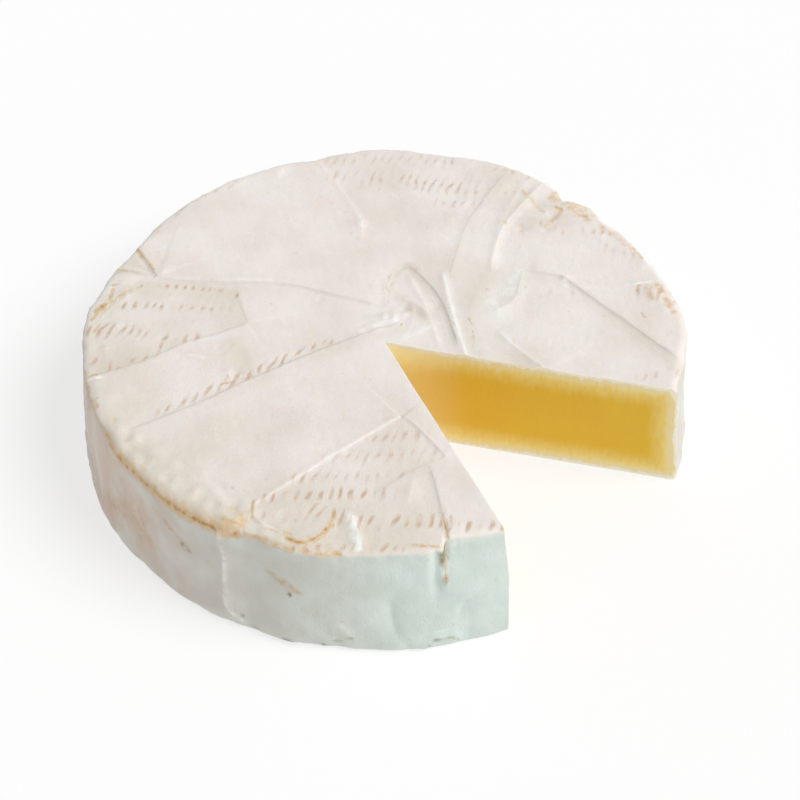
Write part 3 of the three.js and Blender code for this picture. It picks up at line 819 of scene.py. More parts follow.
    side_crack_shades: tuple[Stroke, ...] = (
        # Dark cracks at the foot, in the tuck and in the nicks, then on the sides that face away, with
        # painted shade under the foot's flaps and down the tuck.
        Stroke(((245.4, 2.2), (247.2, 1.8)), 1.0, 1.0), Stroke(((252.3, 1.2), (253.8, 0.8)), 1.0, 0.95),
        Stroke(((252.8, 15.6), (253.3, 15.2)), 0.8, 0.9), Stroke(((242.9, 5.2), (244.5, 4.0)), 0.6, 0.6),
        Stroke(((259.0, 1.4), (261.4, 3.0), (264.3, 4.4)), 0.8, 0.65),
        Stroke(((268.1, 3.7), (270.2, 3.5), (272.5, 3.6)), 0.8, 0.6),
        Stroke(((277.6, 1.5), (278.6, 3.0), (281.0, 3.3), (282.8, 1.6)), 0.8, 0.75),
        Stroke(((280.3, 29.6), (280.4, 24)), 2.0, 1.0), Stroke(((280.4, 25), (280.5, 17)), 1.1, 0.5),
        Stroke(((284.3, 12.9), (282.8, 8.4), (281.0, 5.4)), 0.7, 0.35),
        Stroke(((271.1, 11.5), (271.5, 7.4), (272.8, 3.8), (273.8, 1.5)), 0.7, 0.3),
        Stroke(((231.4, 17.6), (233, 16.4)), 1.5, 0.55), Stroke(((227.4, 20.8), (229, 19.8)), 1.1, 0.45),
        Stroke(((249.5, 19.6), (253.5, 17.4)), 1.4, 0.4), Stroke(((187, 3.6), (193, 2.6)), 0.7, 0.6),
        Stroke(((140, 3.4), (146, 1.6)), 0.7, 0.7), Stroke(((105, 2.2), (112, 2.8)), 0.7, 0.6),
        Stroke(((71, 2.2), (78, 1.6)), 0.7, 0.7), Stroke(((31, 3.0), (38, 2.0)), 0.7, 0.6),
        Stroke(((165, 1.4), (167, 1.2)), 0.8, 0.9), Stroke(((56, 1.4), (58, 1.6)), 0.8, 0.9))
    side_bloom_and_highlight: tuple[Stroke, ...] = (
        # Fresh bloom with painted highlights on the pinched lines, the flaps at the foot and the rim right
        # of the tuck.
        Stroke(((240, 28), (239.9, 24.5), (240.7, 19.7), (241, 11), (241.5, 5.6), (244.5, 2.6)), 1.4, 0.5),
        Stroke(((276, 4.8), (281, 5.4)), 1.2, 0.4), Stroke(((282.6, 30), (282.4, 25)), 1.3, 0.7),
        Stroke(((282, 28.4), (293, 28.6)), 2.4, 0.5), Stroke(((262, 8), (264, 6)), 1.6, 0.5),
        Stroke(LEFT_BACK_LINE, 1.2, 0.6), Stroke(BACK_LEFT_LINE, 1.2, 0.6),
        Stroke(BACK_RIGHT_LINE, 1.2, 0.65), Stroke(LEFT_FRONT_LINE, 1.2, 0.4))
    warm_side: tuple[SidePatch, ...] = (
        SidePatch(200, 40, -6, 40, 1.0), SidePatch(110, 26, -6, 40, 0.45), SidePatch(-10, 16, -6, 40, 0.5))
    green_side: tuple[SidePatch, ...] = (SidePatch(282, 17, -6, 40, 1.0), SidePatch(30, 40, -6, 40, 0.7))
    # Radii between which a mark counts as outside, and heights under the top where the side begins.
    outside_from: Span = (60.0, 64.0)
    side_below: Span = (1.7, 0.5)
    # The rusty ring inside the rim, between two radii, is stronger along the crowded stretch.
    ring_radii: Span = (61.5, 66.5)
    ring_least: float = 0.14
    ring_more: float = 0.34
    crowded_from: Span = (200.0, 208.0)
    crowded_to: Span = (250.0, 256.0)
    knob_bloom: float = 0.18
    # How strongly the mat's faint rows show on top, and the heights over which the underside ends.
    flat_on_top: float = 0.15
    underside_to: Span = (0.1, 0.4)

    def on_top(self, shapes: tuple[Stroke | Panel, ...], x: np.ndarray, y: np.ndarray) -> np.ndarray:
        """Lays strokes or panels over each other on the top face, the strongest showing.

        Args:
            shapes: The strokes or panels.
            x: The points' x.
            y: The points' y.

        Returns:
            The strength at each point.
        """
        most = np.zeros_like(x)
        for shape in shapes:
            most = np.maximum(most, shape.cover(x, y))
        return most

    def on_side(self, strokes: tuple[Stroke, ...], angle: np.ndarray, z: np.ndarray) -> np.ndarray:
        """Lays strokes over each other on the side, the strongest showing.

        Args:
            strokes: The strokes.
            angle: The points' angles in degrees.
            z: The points' heights.

        Returns:
            The strength at each point.
        """
        most = np.zeros_like(z)
        for stroke in strokes:
            most = np.maximum(most, stroke.cover(unwound(angle), z, SIDE_MM_PER_DEGREE))
        return most


@dataclass(frozen=True)
class MouldRind:
    """White mould rind, grown on a draining mat: a dry, matt felt of fine threads.

    To the eye it is nearly white and quite without shine, with soft edges where light goes a
    little way in. The top is a warm pinkish white where paper pressed it, the side a cool
    greenish white. Old mould is tan in the creases, painted shade darkens the feet of folds and
    hollows, and fresh bloom with painted highlights on crests is the whitest of all.
    """

    top: str = "EBE5E0"
    top_patch: str = "E4DBD2"
    shade: str = "CBC4AD"
    # Painted shade at the feet of the folds' steps, and the dark specks.
    line: str = "A9A08C"
    side: str = "C8CCC5"
    side_green: str = "CAD7CF"
    side_pale: str = "DCE3DE"
    side_warm: str = "D0BDAE"
    stain: str = "C4A684"
    # Dark cracks, and painted shade under the foot's flaps and in the tuck.
    crack_shade: str = "8F8466"
    slash: str = "D0B7A2"
    rust: str = "D8BC95"
    deep_rust: str = "B68C5A"
    # Fresh bloom, and the painted highlights on crests and pinched lines.
    bloom_and_highlight: str = "F3F3ED"
    roughness: float = 0.82
    specular: float = 0.2
    scatter: float = 0.3
    scatter_mm: float = 1.2
    scatter_share: tuple[float, float, float] = (1.0, 0.8, 0.55)
    sheen: float = 0.08
    sheen_roughness: float = 0.6
    # The felt's threads are hundredths of a millimetre thick: they are drawn coarser, to show.
    felt_mm: float = 0.55
    grain_mm: float = 1.7
    bend_mm: float = 7.0
    patch_mm: float = 18.0
    # Values of the noise between which a patch, a pale cloud on the side and a speck set in.
    patch_from: Span = (0.38, 0.66)
    cloud_from: Span = (0.4, 0.8)
    cloud_most: float = 0.5
    speck_from: Span = (0.68, 0.78)
    speck_most: float = 0.35
    # The mat's slashes: their pitch, the pitch of their rows, their slant, and how far they wander.
    mat_pitch_mm: float = 2.3
    mat_row_mm: float = 7.2
    mat_lean: float = 0.3
    mat_wander: float = 1.5
    slash_width: Span = (-0.3, 1.0)
    row_width: Span = (0.0, 0.9)
    row_most: float = 0.16
    # Each slash's own strength, from noise that changes slowly along the slash.
    luck_mm: float = 1.6
    luck_stretch: float = 0.35
    luck_from: Span = (0.33, 0.53)
    luck_least: float = 0.15
    # The painted shade and painted highlight lines beside a fold, and the sharp part of its step.
    line_mm: float = 0.9
    light_line_mm: float = 0.63
    line_off_mm: float = 0.25
    step_mm: float = 0.25
    step_gone_mm: float = 1.6
    step_share: float = 0.5
    # Where each ragged mark begins and where it is full, as values of its mask.
    slash_edge: Span = (0.10, 0.85)
    rust_edge: Span = (0.22, 0.70)
    deep_rust_edge: Span = (0.60, 1.15)
    stain_edge: Span = (0.05, 1.1)
    crack_shade_edge: Span = (0.10, 1.0)
    bloom_and_highlight_edge: Span = (0.10, 0.9)
    # Height of the felt, the grain, slashes, faint rows and rust in the bump, in millimetres.
    felt_rise: float = 0.10
    grain_rise: float = 0.16
    slash_rise: float = -0.16
    row_rise: float = -0.5
    rust_rise: float = -0.2
    bump_strength: float = 0.7

    def build(self) -> bpy.types.Material:
        """Makes the rind's material, whose marks come from the piece's own attributes.

        Returns:
            The material.
        """
        material = bpy.data.materials.new("mould_rind")
        material.use_nodes = True
        tree = material.node_tree
        shader = tree.nodes["Principled BSDF"]
        place = add_node(tree, "ShaderNodeTexCoord", {}, {}).outputs["Object"]
        noise = {
            name: add_node(tree, "ShaderNodeTexNoise", {}, {
                "Vector": place, "Scale": scale_for(size), "Detail": detail}).outputs["Fac"]
            for name, size, detail in (("felt", self.felt_mm, 2.0), ("grain", self.grain_mm, 3.0),
                                       ("bend", self.bend_mm, 1.0), ("patch", self.patch_mm, 3.0))}
        mask = {
            name: add_node(tree, "ShaderNodeAttribute", {"attribute_name": name}, {}).outputs["Fac"]
            for name in RIND_MASKS}
        dark = self._along(tree, mask["beside"], mask["dark"], -self.line_off_mm, self.line_mm)
        light = self._along(tree, mask["beside"], mask["light"], self.line_off_mm, self.light_line_mm)
        stripe, faint = self._stripes(tree, place, noise["bend"])
        slash = add_node(tree, "ShaderNodeMath", {"operation": "MULTIPLY"}, {
            0: stripe, 1: self._ragged(tree, mask["slash"], noise["grain"], self.slash_edge)}).outputs[0]
        rows = add_node(tree, "ShaderNodeMath", {"operation": "MULTIPLY"}, {
            0: faint, 1: mask["flat"]}).outputs[0]
        patch = add_node(tree, "ShaderNodeMapRange", {}, {
            "Value": noise["patch"], "From Min": self.patch_from[0],
            "From Max": self.patch_from[1]}).outputs[0]
        colour = add_node(tree, "ShaderNodeMix", {"data_type": "RGBA"}, {
            0: patch, 6: linear(self.top), 7: linear(self.top_patch)}).outputs[2]
        rust = self._ragged(tree, mask["rust"], noise["grain"], self.rust_edge)
        specks = add_node(tree, "ShaderNodeMapRange", {}, {
            "Value": noise["grain"], "From Min": self.speck_from[0], "From Max": self.speck_from[1],
            "To Max": self.speck_most}).outputs[0]
        clouds = add_node(tree, "ShaderNodeMapRange", {}, {
            "Value": noise["bend"], "From Min": self.cloud_from[0], "From Max": self.cloud_from[1],
            "To Max": self.cloud_most}).outputs[0]
        pale = add_node(tree, "ShaderNodeMath", {"operation": "MULTIPLY"}, {
            0: clouds, 1: mask["side"]}).outputs[0]
        layers = (
            (self.side, mask["side"]),
            (self.side_green, mask["green"]),
            (self.side_warm, mask["warm"]),
            (self.side_pale, pale),
            (self.shade, self._uneven(tree, mask["shade"], noise["patch"])),
            (self.stain, self._ragged(tree, mask["stain"], noise["grain"], self.stain_edge)),
            # Painted shade at the foot of each fold's step.
            (self.line, self._uneven(tree, dark, noise["grain"])),
            (self.slash, rows),
            (self.line, specks),
            (self.slash, slash),
            # Painted highlight along each fold's crest.
            (self.bloom_and_highlight, self._uneven(tree, light, noise["grain"])),
            (self.rust, rust),
            (self.deep_rust, self._ragged(tree, mask["rust"], noise["grain"], self.deep_rust_edge)),
            # Dark cracks, and painted shade under the foot's flaps and in the tuck.
            (self.crack_shade, self._ragged(tree, mask["crack_shade"], noise["grain"], self.crack_shade_edge)),
            # Fresh bloom on knobs and lumps, with painted highlights on crests and pinched lines.
            (self.bloom_and_highlight, self._ragged(tree, mask["bloom_and_highlight"], noise["grain"], self.bloom_and_highlight_edge)))
        for over, cover in layers:
            colour = add_node(tree, "ShaderNodeMix", {"data_type": "RGBA"}, {
                0: cover, 6: colour, 7: linear(over)}).outputs[2]
        height = add_node(tree, "ShaderNodeMath", {"operation": "MULTIPLY_ADD"}, {
            0: noise["felt"], 1: self.felt_rise,
            2: self._sharp_step(tree, mask["beside"], mask["step"])}).outputs[0]
        for source, rise in ((noise["grain"], self.grain_rise), (slash, self.slash_rise),
                             (rows, self.row_rise), (rust, self.rust_rise)):
            height = add_node(tree, "ShaderNodeMath", {"operation": "MULTIPLY_ADD"}, {
                0: source, 1: rise, 2: height}).outputs[0]
        bump = add_node(tree, "ShaderNodeBump", {}, {
            "Strength": self.bump_strength, "Distance": MM, "Height": height}).outputs[0]
        tree.links.new(colour, shader.inputs["Base Color"])
        tree.links.new(bump, shader.inputs["Normal"])
        shader.inputs["Roughness"].default_value = self.roughness
        shader.inputs["Specular IOR Level"].default_value = self.specular
        shader.inputs["Subsurface Weight"].default_value = self.scatter
        shader.inputs["Subsurface Radius"].default_value = self.scatter_share
        shader.inputs["Subsurface Scale"].default_value = self.scatter_mm * MM
        shader.inputs["Sheen Weight"].default_value = self.sheen
        shader.inputs["Sheen Roughness"].default_value = self.sheen_roughness
        return material

    def _along(self, tree: bpy.types.NodeTree, beside: bpy.types.NodeSocket,
               strength: bpy.types.NodeSocket, middle: float, reach: float) -> bpy.types.NodeSocket:
        """Draws a soft line along a fold, at a set distance from it.

        Args:
            tree: The material's node tree.
            beside: The distance up the fold's step, in millimetres.
            strength: How strong the line is.
            middle: The distance at which the line lies.
            reach: The distance from its middle at which it is gone.

        Returns:
            The line's mask.
        """
        off = add_node(tree, "ShaderNodeMath", {"operation": "SUBTRACT"}, {0: beside, 1: middle}).outputs[0]
        away = add_node(tree, "ShaderNodeMath", {"operation": "ABSOLUTE"}, {0: off}).outputs[0]
        near = add_node(tree, "ShaderNodeMapRange", {"interpolation_type": "SMOOTHSTEP"}, {
            "Value": away, "From Min": reach, "From Max": 0.0}).outputs[0]
        return add_node(tree, "ShaderNodeMath", {"operation": "MULTIPLY"}, {
            0: near, 1: strength}).outputs[0]

    def _sharp_step(self, tree: bpy.types.NodeTree, beside: bpy.types.NodeSocket,
                    step: bpy.types.NodeSocket) -> bpy.types.NodeSocket:
        """Sharpens the fold's rounded step: a steep rise less a ramp that ends at the same heights.

        Args:
            tree: The material's node tree.
            beside: The distance up the fold's step, in millimetres.
            step: The step's height.

        Returns:
            A height in millimetres for the bump.
        """
        rise = add_node(tree, "ShaderNodeMapRange", {"interpolation_type": "SMOOTHSTEP"}, {
            "Value": beside, "From Min": -self.step_mm, "From Max": self.step_mm}).outputs[0]
        ramp = add_node(tree, "ShaderNodeMapRange", {}, {
            "Value": beside, "From Min": -self.step_gone_mm, "From Max": self.step_gone_mm}).outputs[0]
        sharp = add_node(tree, "ShaderNodeMath", {"operation": "SUBTRACT"}, {0: rise, 1: ramp}).outputs[0]
        tall = add_node(tree, "ShaderNodeMath", {"operation": "MULTIPLY"}, {0: sharp, 1: step}).outputs[0]
        return add_node(tree, "ShaderNodeMath", {"operation": "MULTIPLY"}, {
            0: tall, 1: self.step_share}).outputs[0]

    def _stripes(self, tree: bpy.types.NodeTree, place: bpy.types.NodeSocket,
                 bend: bpy.types.NodeSocket) -> tuple[bpy.types.NodeSocket, bpy.types.NodeSocket]:
        """Draws the mat's slashes: a sine of x less lean times y, bent by slow noise.

        Each slash has its own strength, from noise that is read at one place for the whole
        slash. The faint ones also fade between the mat's rows, by a sine of y.

        Args:
            tree: The material's node tree.
            place: The object coordinates.
            bend: Noise that bends the slashes.

        Returns:
            A socket that is 1 on a slash and 0 between slashes, and a faint one for the rows.
        """
        pitch, row = self.mat_pitch_mm * MM, self.mat_row_mm * MM
        axes = add_node(tree, "ShaderNodeSeparateXYZ", {}, {0: place}).outputs
        across = add_node(tree, "ShaderNodeMath", {"operation": "MULTIPLY_ADD"}, {
            0: axes[1], 1: -self.mat_lean, 2: axes[0]}).outputs[0]
        shifted = add_node(tree, "ShaderNodeMath", {"operation": "MULTIPLY_ADD"}, {
            0: bend, 1: self.mat_wander * pitch, 2: across}).outputs[0]
        phase = add_node(tree, "ShaderNodeMath", {"operation": "MULTIPLY"}, {
            0: shifted, 1: 2.0 * math.pi / pitch}).outputs[0]
        wave = add_node(tree, "ShaderNodeMath", {"operation": "SINE"}, {0: phase}).outputs[0]
        stripe = add_node(tree, "ShaderNodeMapRange", {"interpolation_type": "SMOOTHSTEP"}, {
            "Value": wave, "From Min": self.slash_width[0], "From Max": self.slash_width[1]}).outputs[0]
        number = add_node(tree, "ShaderNodeMath", {"operation": "SNAP"}, {0: shifted, 1: pitch}).outputs[0]
        slow = add_node(tree, "ShaderNodeMath", {"operation": "MULTIPLY"}, {
            0: axes[1], 1: self.luck_stretch}).outputs[0]
        own = add_node(tree, "ShaderNodeCombineXYZ", {}, {0: number, 1: slow}).outputs[0]
        luck = add_node(tree, "ShaderNodeTexNoise", {}, {
            "Vector": own, "Scale": scale_for(self.luck_mm), "Detail": 0.0}).outputs["Fac"]
        strength = add_node(tree, "ShaderNodeMapRange", {}, {
            "Value": luck, "From Min": self.luck_from[0], "From Max": self.luck_from[1],
            "To Min": self.luck_least}).outputs[0]
        slash = add_node(tree, "ShaderNodeMath", {"operation": "MULTIPLY"}, {
            0: stripe, 1: strength}).outputs[0]
        turned = add_node(tree, "ShaderNodeMath", {"operation": "MULTIPLY"}, {
            0: axes[1], 1: 2.0 * math.pi / row}).outputs[0]
        rows = add_node(tree, "ShaderNodeMath", {"operation": "SINE"}, {0: turned}).outputs[0]
        band = add_node(tree, "ShaderNodeMapRange", {"interpolation_type": "SMOOTHSTEP"}, {
            "Value": rows, "From Min": self.row_width[0], "From Max": self.row_width[1],
            "To Max": self.row_most}).outputs[0]
        faint = add_node(tree, "ShaderNodeMath", {"operation": "MULTIPLY"}, {0: slash, 1: band}).outputs[0]
        return slash, faint

    def _ragged(self, tree: bpy.types.NodeTree, mask: bpy.types.NodeSocket,
                noise: bpy.types.NodeSocket, edge: Span) -> bpy.types.NodeSocket:
        """Gives a soft mask a ragged edge: it is made uneven by noise, then steepened.

        Args:
            tree: The material's node tree.
            mask: The soft mask.
            noise: The noise that eats into it.
            edge: Where the mark begins and where it is full.

        Returns:
            The ragged mask.
        """
        return add_node(tree, "ShaderNodeMapRange", {"interpolation_type": "SMOOTHSTEP"}, {
            "Value": self._uneven(tree, mask, noise), "From Min": edge[0],
            "From Max": edge[1]}).outputs[0]

    def _uneven(self, tree: bpy.types.NodeTree, mask: bpy.types.NodeSocket,
                noise: bpy.types.NodeSocket) -> bpy.types.NodeSocket:
        """Returns the mask times twice the noise, which is about 0.6 to 1.4 times the mask."""
        twice = add_node(tree, "ShaderNodeMath", {"operation": "MULTIPLY"}, {0: noise, 1: 2.0}).outputs[0]
        return add_node(tree, "ShaderNodeMath", {"operation": "MULTIPLY"}, {
            0: mask, 1: twice}).outputs[0]


@dataclass(frozen=True)
class RipePaste:
    """Ripe paste, cut with a wet knife: smooth, moist and a little translucent.

    To the eye it is golden, with a soft shine and light that spreads inside it. It pales
    towards the rind in two steps, with a ragged edge, and near the point it is painted paler, as
    painted light against the shade in the notch's corner.
    """

    core: str = "E6BD33"
    deep: str = "DEB22A"
    soft: str = "EDD785"
    pale: str = "EADDB0"
    rind: str = "EEE9DC"
    # Painted light by the point of the cut, against the shade in the notch's corner.
    point_painted_light: str = "FBEFC4"
    roughness: float = 0.45
    specular: float = 0.25
    scatter: float = 0.5
    scatter_mm: float = 2.0
    scatter_share: tuple[float, float, float] = (1.0, 0.75, 0.35)
    # Depths under the rind at which one tone gives way to the next.
    rind_mm: Span = (0.6, 1.1)
    pale_mm: Span = (0.9, 3.4)
    soft_mm: Span = (1.4, 7.6)
    # The ragged edge's teeth and the knife's smears, both longer upright, and the small pits.
    tooth_mm: float = 1.0
    tooth_depth_mm: float = 2.8
    smear_mm: float = 9.0
    pit_mm: float = 0.7
    upright: tuple[float, float, float] = (1.0, 1.0, 0.35)
    smear_rise: float = 0.5
    bump_mm: float = 0.25
    bump_strength: float = 0.35

    def build(self) -> bpy.types.Material:
        """Makes the material of the cut faces, layered by depth under the rind.

        Returns:
            The material.
        """
        material = bpy.data.materials.new("ripe_paste")
        material.use_nodes = True
        tree = material.node_tree
        shader = tree.nodes["Principled BSDF"]
        place = add_node(tree, "ShaderNodeTexCoord", {}, {}).outputs["Object"]
        mask = {
            name: add_node(tree, "ShaderNodeAttribute", {"attribute_name": name}, {}).outputs["Fac"]
            for name in PASTE_MASKS}
        long_grain = add_node(tree, "ShaderNodeMapping", {}, {
            "Vector": place, "Scale": self.upright}).outputs[0]
        smear = add_node(tree, "ShaderNodeTexNoise", {}, {
            "Vector": long_grain, "Scale": scale_for(self.smear_mm), "Detail": 4.0}).outputs["Fac"]
        teeth = add_node(tree, "ShaderNodeTexNoise", {}, {
            "Vector": long_grain, "Scale": scale_for(self.tooth_mm), "Detail": 2.0}).outputs["Fac"]
        pits = add_node(tree, "ShaderNodeTexNoise", {}, {
            "Vector": place, "Scale": scale_for(self.pit_mm), "Detail": 3.0}).outputs["Fac"]
        centred = add_node(tree, "ShaderNodeMath", {"operation": "SUBTRACT"}, {0: 0.5, 1: teeth}).outputs[0]
        ragged = add_node(tree, "ShaderNodeMath", {"operation": "MULTIPLY_ADD"}, {
            0: centred, 1: self.tooth_depth_mm, 2: mask["inside"]}).outputs[0]
        past = {
            name: add_node(tree, "ShaderNodeMapRange", {"interpolation_type": "SMOOTHSTEP"}, {
                "Value": ragged, "From Min": low, "From Max": high}).outputs[0]
            for name, (low, high) in (("rind", self.rind_mm), ("pale", self.pale_mm),
                                      ("soft", self.soft_mm))}
        core = add_node(tree, "ShaderNodeMix", {"data_type": "RGBA"}, {
            0: smear, 6: linear(self.core), 7: linear(self.deep)}).outputs[2]
        softened = add_node(tree, "ShaderNodeMix", {"data_type": "RGBA"}, {
            0: past["soft"], 6: linear(self.soft), 7: core}).outputs[2]
        paste = add_node(tree, "ShaderNodeMix", {"data_type": "RGBA"}, {
            0: past["pale"], 6: linear(self.pale), 7: softened}).outputs[2]
        # Painted light near the point, where the notch's corner is in shade.
        point_painted_light = add_node(tree, "ShaderNodeMix", {"data_type": "RGBA"}, {
            0: mask["point"], 6: paste, 7: linear(self.point_painted_light)}).outputs[2]
        colour = add_node(tree, "ShaderNodeMix", {"data_type": "RGBA"}, {
            0: past["rind"], 6: linear(self.rind), 7: point_painted_light}).outputs[2]
        height = add_node(tree, "ShaderNodeMath", {"operation": "MULTIPLY_ADD"}, {
            0: smear, 1: self.smear_rise, 2: pits}).outputs[0]
        bump = add_node(tree, "ShaderNodeBump", {}, {
            "Strength": self.bump_strength, "Distance": self.bump_mm * MM, "Height": height}).outputs[0]
        tree.links.new(colour, shader.inputs["Base Color"])
        tree.links.new(bump, shader.inputs["Normal"])
        shader.inputs["Roughness"].default_value = self.roughness
        shader.inputs["Specular IOR Level"].default_value = self.specular
        shader.inputs["Subsurface Weight"].default_value = self.scatter
        shader.inputs["Subsurface Radius"].default_value = self.scatter_share
        shader.inputs["Subsurface Scale"].default_value = self.scatter_mm * MM
        return material


@dataclass
class Grid:
    """A surface as a grid of points with a value of each mask at every point."""

    points: np.ndarray
    masks: dict[str, np.ndarray]


@dataclass
class BrieWheel:
    """The whole wheel: one closed mesh with a rind outside and paste on the two cut faces.

    Rays run from the point of the cut to the rim, in rows on the top and on the underside.
    """

    form: WheelForm = field(default_factory=WheelForm)
    folds: RindFolds = field(default_factory=RindFolds)
    knobs: RimKnobs = field(default_factory=RimKnobs)
    marks: RindMarks = field(default_factory=RindMarks)
    rays: int = 560
    top_rows: int = 120
    bottom_rows: int = 12
    arc_steps: int = 5
    side_steps: int = 20
    # The paste is painted paler near the point of the cut, as painted light against the shade in the
    # notch's corner, and a little less in its depth.
    point_light_reach: float = 22.0
    point_light_most: float = 0.85
    point_light_less: float = 0.35
    less_from: Span = (3.0, 9.0)

    def shell(self) -> Grid:
        """Makes the outside: rays from the point of the cut, over the rim, under and back.

        Row 0 is the point on the top face, the last row the point on the underside. Between
        the point and the rim, rows are at equal shares of each ray.

        Returns:
            The grid of rows by rays.
        """
        form = self.form
        bearing = np.radians(np.linspace(form.back_cut, form.front_cut, self.rays + 1))
        outer = form.spread_round(form.profile(self.arc_steps, self.side_steps), bearing)
        centre = np.array([*form.cut_point, 0.0])
        up = np.array([0.0, 0.0, form.top_height])
        share = np.linspace(0.0, 1.0, self.top_rows + 1)[:-1, None, None]
        top = centre + up + share * (outer[0] - centre - up)
        share = np.linspace(1.0, 0.0, self.bottom_rows + 1)[1:, None, None]
        points = np.concatenate([top, outer, centre + share * (outer[-1] - centre)])
        x, y, z = points[..., 0], points[..., 1], points[..., 2].copy()
        on_top = smooth(form.top_height - form.shoulder_round, form.top_height, z)
        height, lines = self.folds.relief(x, y)
        rise, knob = self.knobs.at(x, y, form.rim_radius)
        points[..., 2] += on_top * (height + rise)
        for name in ("step", "dark", "light"):
            lines[name] = lines[name] * on_top
        return Grid(points, self.paint(x, y, z, knob * on_top) | lines)

    def paint(self, x: np.ndarray, y: np.ndarray, z: np.ndarray,
              knob: np.ndarray) -> dict[str, np.ndarray]:
        """Works out each mask on the outside but those of the folds.

        Args:
            x: The points' x.
            y: The points' y.
            z: The points' height before relief.
            knob: How near each point is to the middle of a rim knob.

        Returns:
            Mask name to its values.
        """
        form, marks = self.form, self.marks
        angle, radius = np.degrees(np.arctan2(y, x)), np.hypot(x, y)
        on_top = smooth(form.top_height - form.shoulder_round, form.top_height, z)
        outside = smooth(*marks.outside_from, radius)
        side_top = [form.top_height - below for below in marks.side_below]
        side = outside * (1.0 - smooth(*side_top, z))
        around = angle % 360.0
        crowded = smooth(*marks.crowded_from, around) * (1.0 - smooth(*marks.crowded_to, around))
        ring = marks.ring_least + marks.ring_more * crowded
        ring = ring * smooth(*marks.ring_radii, radius) * on_top
        rust = np.maximum(marks.on_top(marks.rust, x, y) * on_top, ring * (1.0 - knob))
        rust = np.maximum(rust, marks.on_side(marks.rim_band, angle, z) * outside)
        bloom_and_highlight = np.maximum(marks.on_top(marks.bloom_and_highlight, x, y) * on_top, marks.knob_bloom * knob)
        return {
            "slash": marks.on_top(marks.slashes, x, y) * on_top,
            "rust": rust,
            "stain": marks.on_side(marks.side_stains, angle, z) * side,
            "crack_shade": marks.on_side(marks.side_crack_shades, angle, z) * side,
            "bloom_and_highlight": np.maximum(bloom_and_highlight, marks.on_side(marks.side_bloom_and_highlight, angle, z) * side),
            "shade": (marks.on_top(marks.shades, x, y) + marks.on_top(marks.panels, x, y)) * on_top,
            "side": side,
            "green": sum(patch.cover(angle, z) for patch in marks.green_side) * side,
            "warm": sum(patch.cover(angle, z) for patch in marks.warm_side) * side,
            "flat": np.maximum(marks.flat_on_top * on_top, 1.0 - smooth(*marks.underside_to, z)),
        } | {name: np.zeros_like(z) for name in PASTE_MASKS}

    def cut_face(self, edge: np.ndarray) -> Grid:
        """Fills a cut face between the four stretches of its edge.

        Each point is the blend of the two opposite edges across and down, less the blend of
        the four corners. Its depth is the distance to the nearest of top, side and underside.

        Args:
            edge: The shell's points down one cut, from the point on top to the one below.

        Returns:
            The grid of heights by places along the cut.
        """
        first, last = self.top_rows, len(edge) - 1 - self.bottom_rows
        top, outer = edge[:first + 1], edge[first:last + 1]
        u = np.linspace(0.0, 1.0, len(top))[None, :, None]
        v = np.linspace(0.0, 1.0, len(outer))[:, None, None]
        bottom = edge[-1] + u[0] * (edge[last] - edge[-1])
        inner = edge[0] + v[:, 0] * (edge[-1] - edge[0])
        points = ((1 - v) * top + v * bottom + (1 - u) * inner[:, None] + u * outer[:, None]
                  - (1 - u) * (1 - v) * edge[0] - u * (1 - v) * edge[first]
                  - (1 - u) * v * edge[-1] - u * v * edge[last])
        along = np.hypot(*(points - edge[0])[..., :2].transpose(2, 0, 1))
        top_along = np.hypot(*(top - edge[0])[:, :2].T)
        outer_along = np.hypot(*(outer - edge[0])[:, :2].T)
        z = points[..., 2]
        under_top = np.interp(along, top_along, top[:, 2]) - z
        from_side = np.interp(-z, -outer[:, 2], outer_along) - along
        depth = np.minimum(np.minimum(under_top, from_side), z)
        masks = {name: np.zeros_like(z) for name in RIND_MASKS + PASTE_MASKS}
        masks["inside"] = np.maximum(depth, 0.0)
        # Painted light near the point, less deeper in the paste.
        masks["point"] = self.point_light_most * (1.0 - smooth(0.0, self.point_light_reach, along))
        masks["point"] *= 1.0 - self.point_light_less * smooth(*self.less_from, depth)
        return Grid(points, masks)

    def faces(self, shape: tuple[int, int], first: int) -> np.ndarray:
        """Returns four corner numbers for each cell of a grid whose numbers start at first."""
        number = first + np.arange(shape[0] * shape[1]).reshape(shape)
        return np.stack([number[:-1, :-1], number[1:, :-1], number[1:, 1:], number[:-1, 1:]],
                        axis=-1).reshape(-1, 4)

    def foot_fans(self, shape: tuple[int, int], first: int) -> np.ndarray:
        """Joins a cut face's lowest fine row to the underside's wider steps by fans.

        Args:
            shape: The cut face's rows and columns.
            first: The number of its first point.

        Returns:
            Triangles as corner numbers, the last one repeated.
        """
        wide = self.top_rows // self.bottom_rows
        number = first + np.arange(shape[0] * shape[1]).reshape(shape)
        fine, coarse = number[-2], number[-1, ::wide]
        left = np.repeat(coarse[:-1], wide)
        fans = np.stack([fine[:-1], left, fine[1:]], axis=1)
        closing = np.stack([fine[wide::wide], coarse[:-1], coarse[1:]], axis=1)
        both = np.vstack([fans, closing])
        return np.hstack([both, both[:, -1:]])

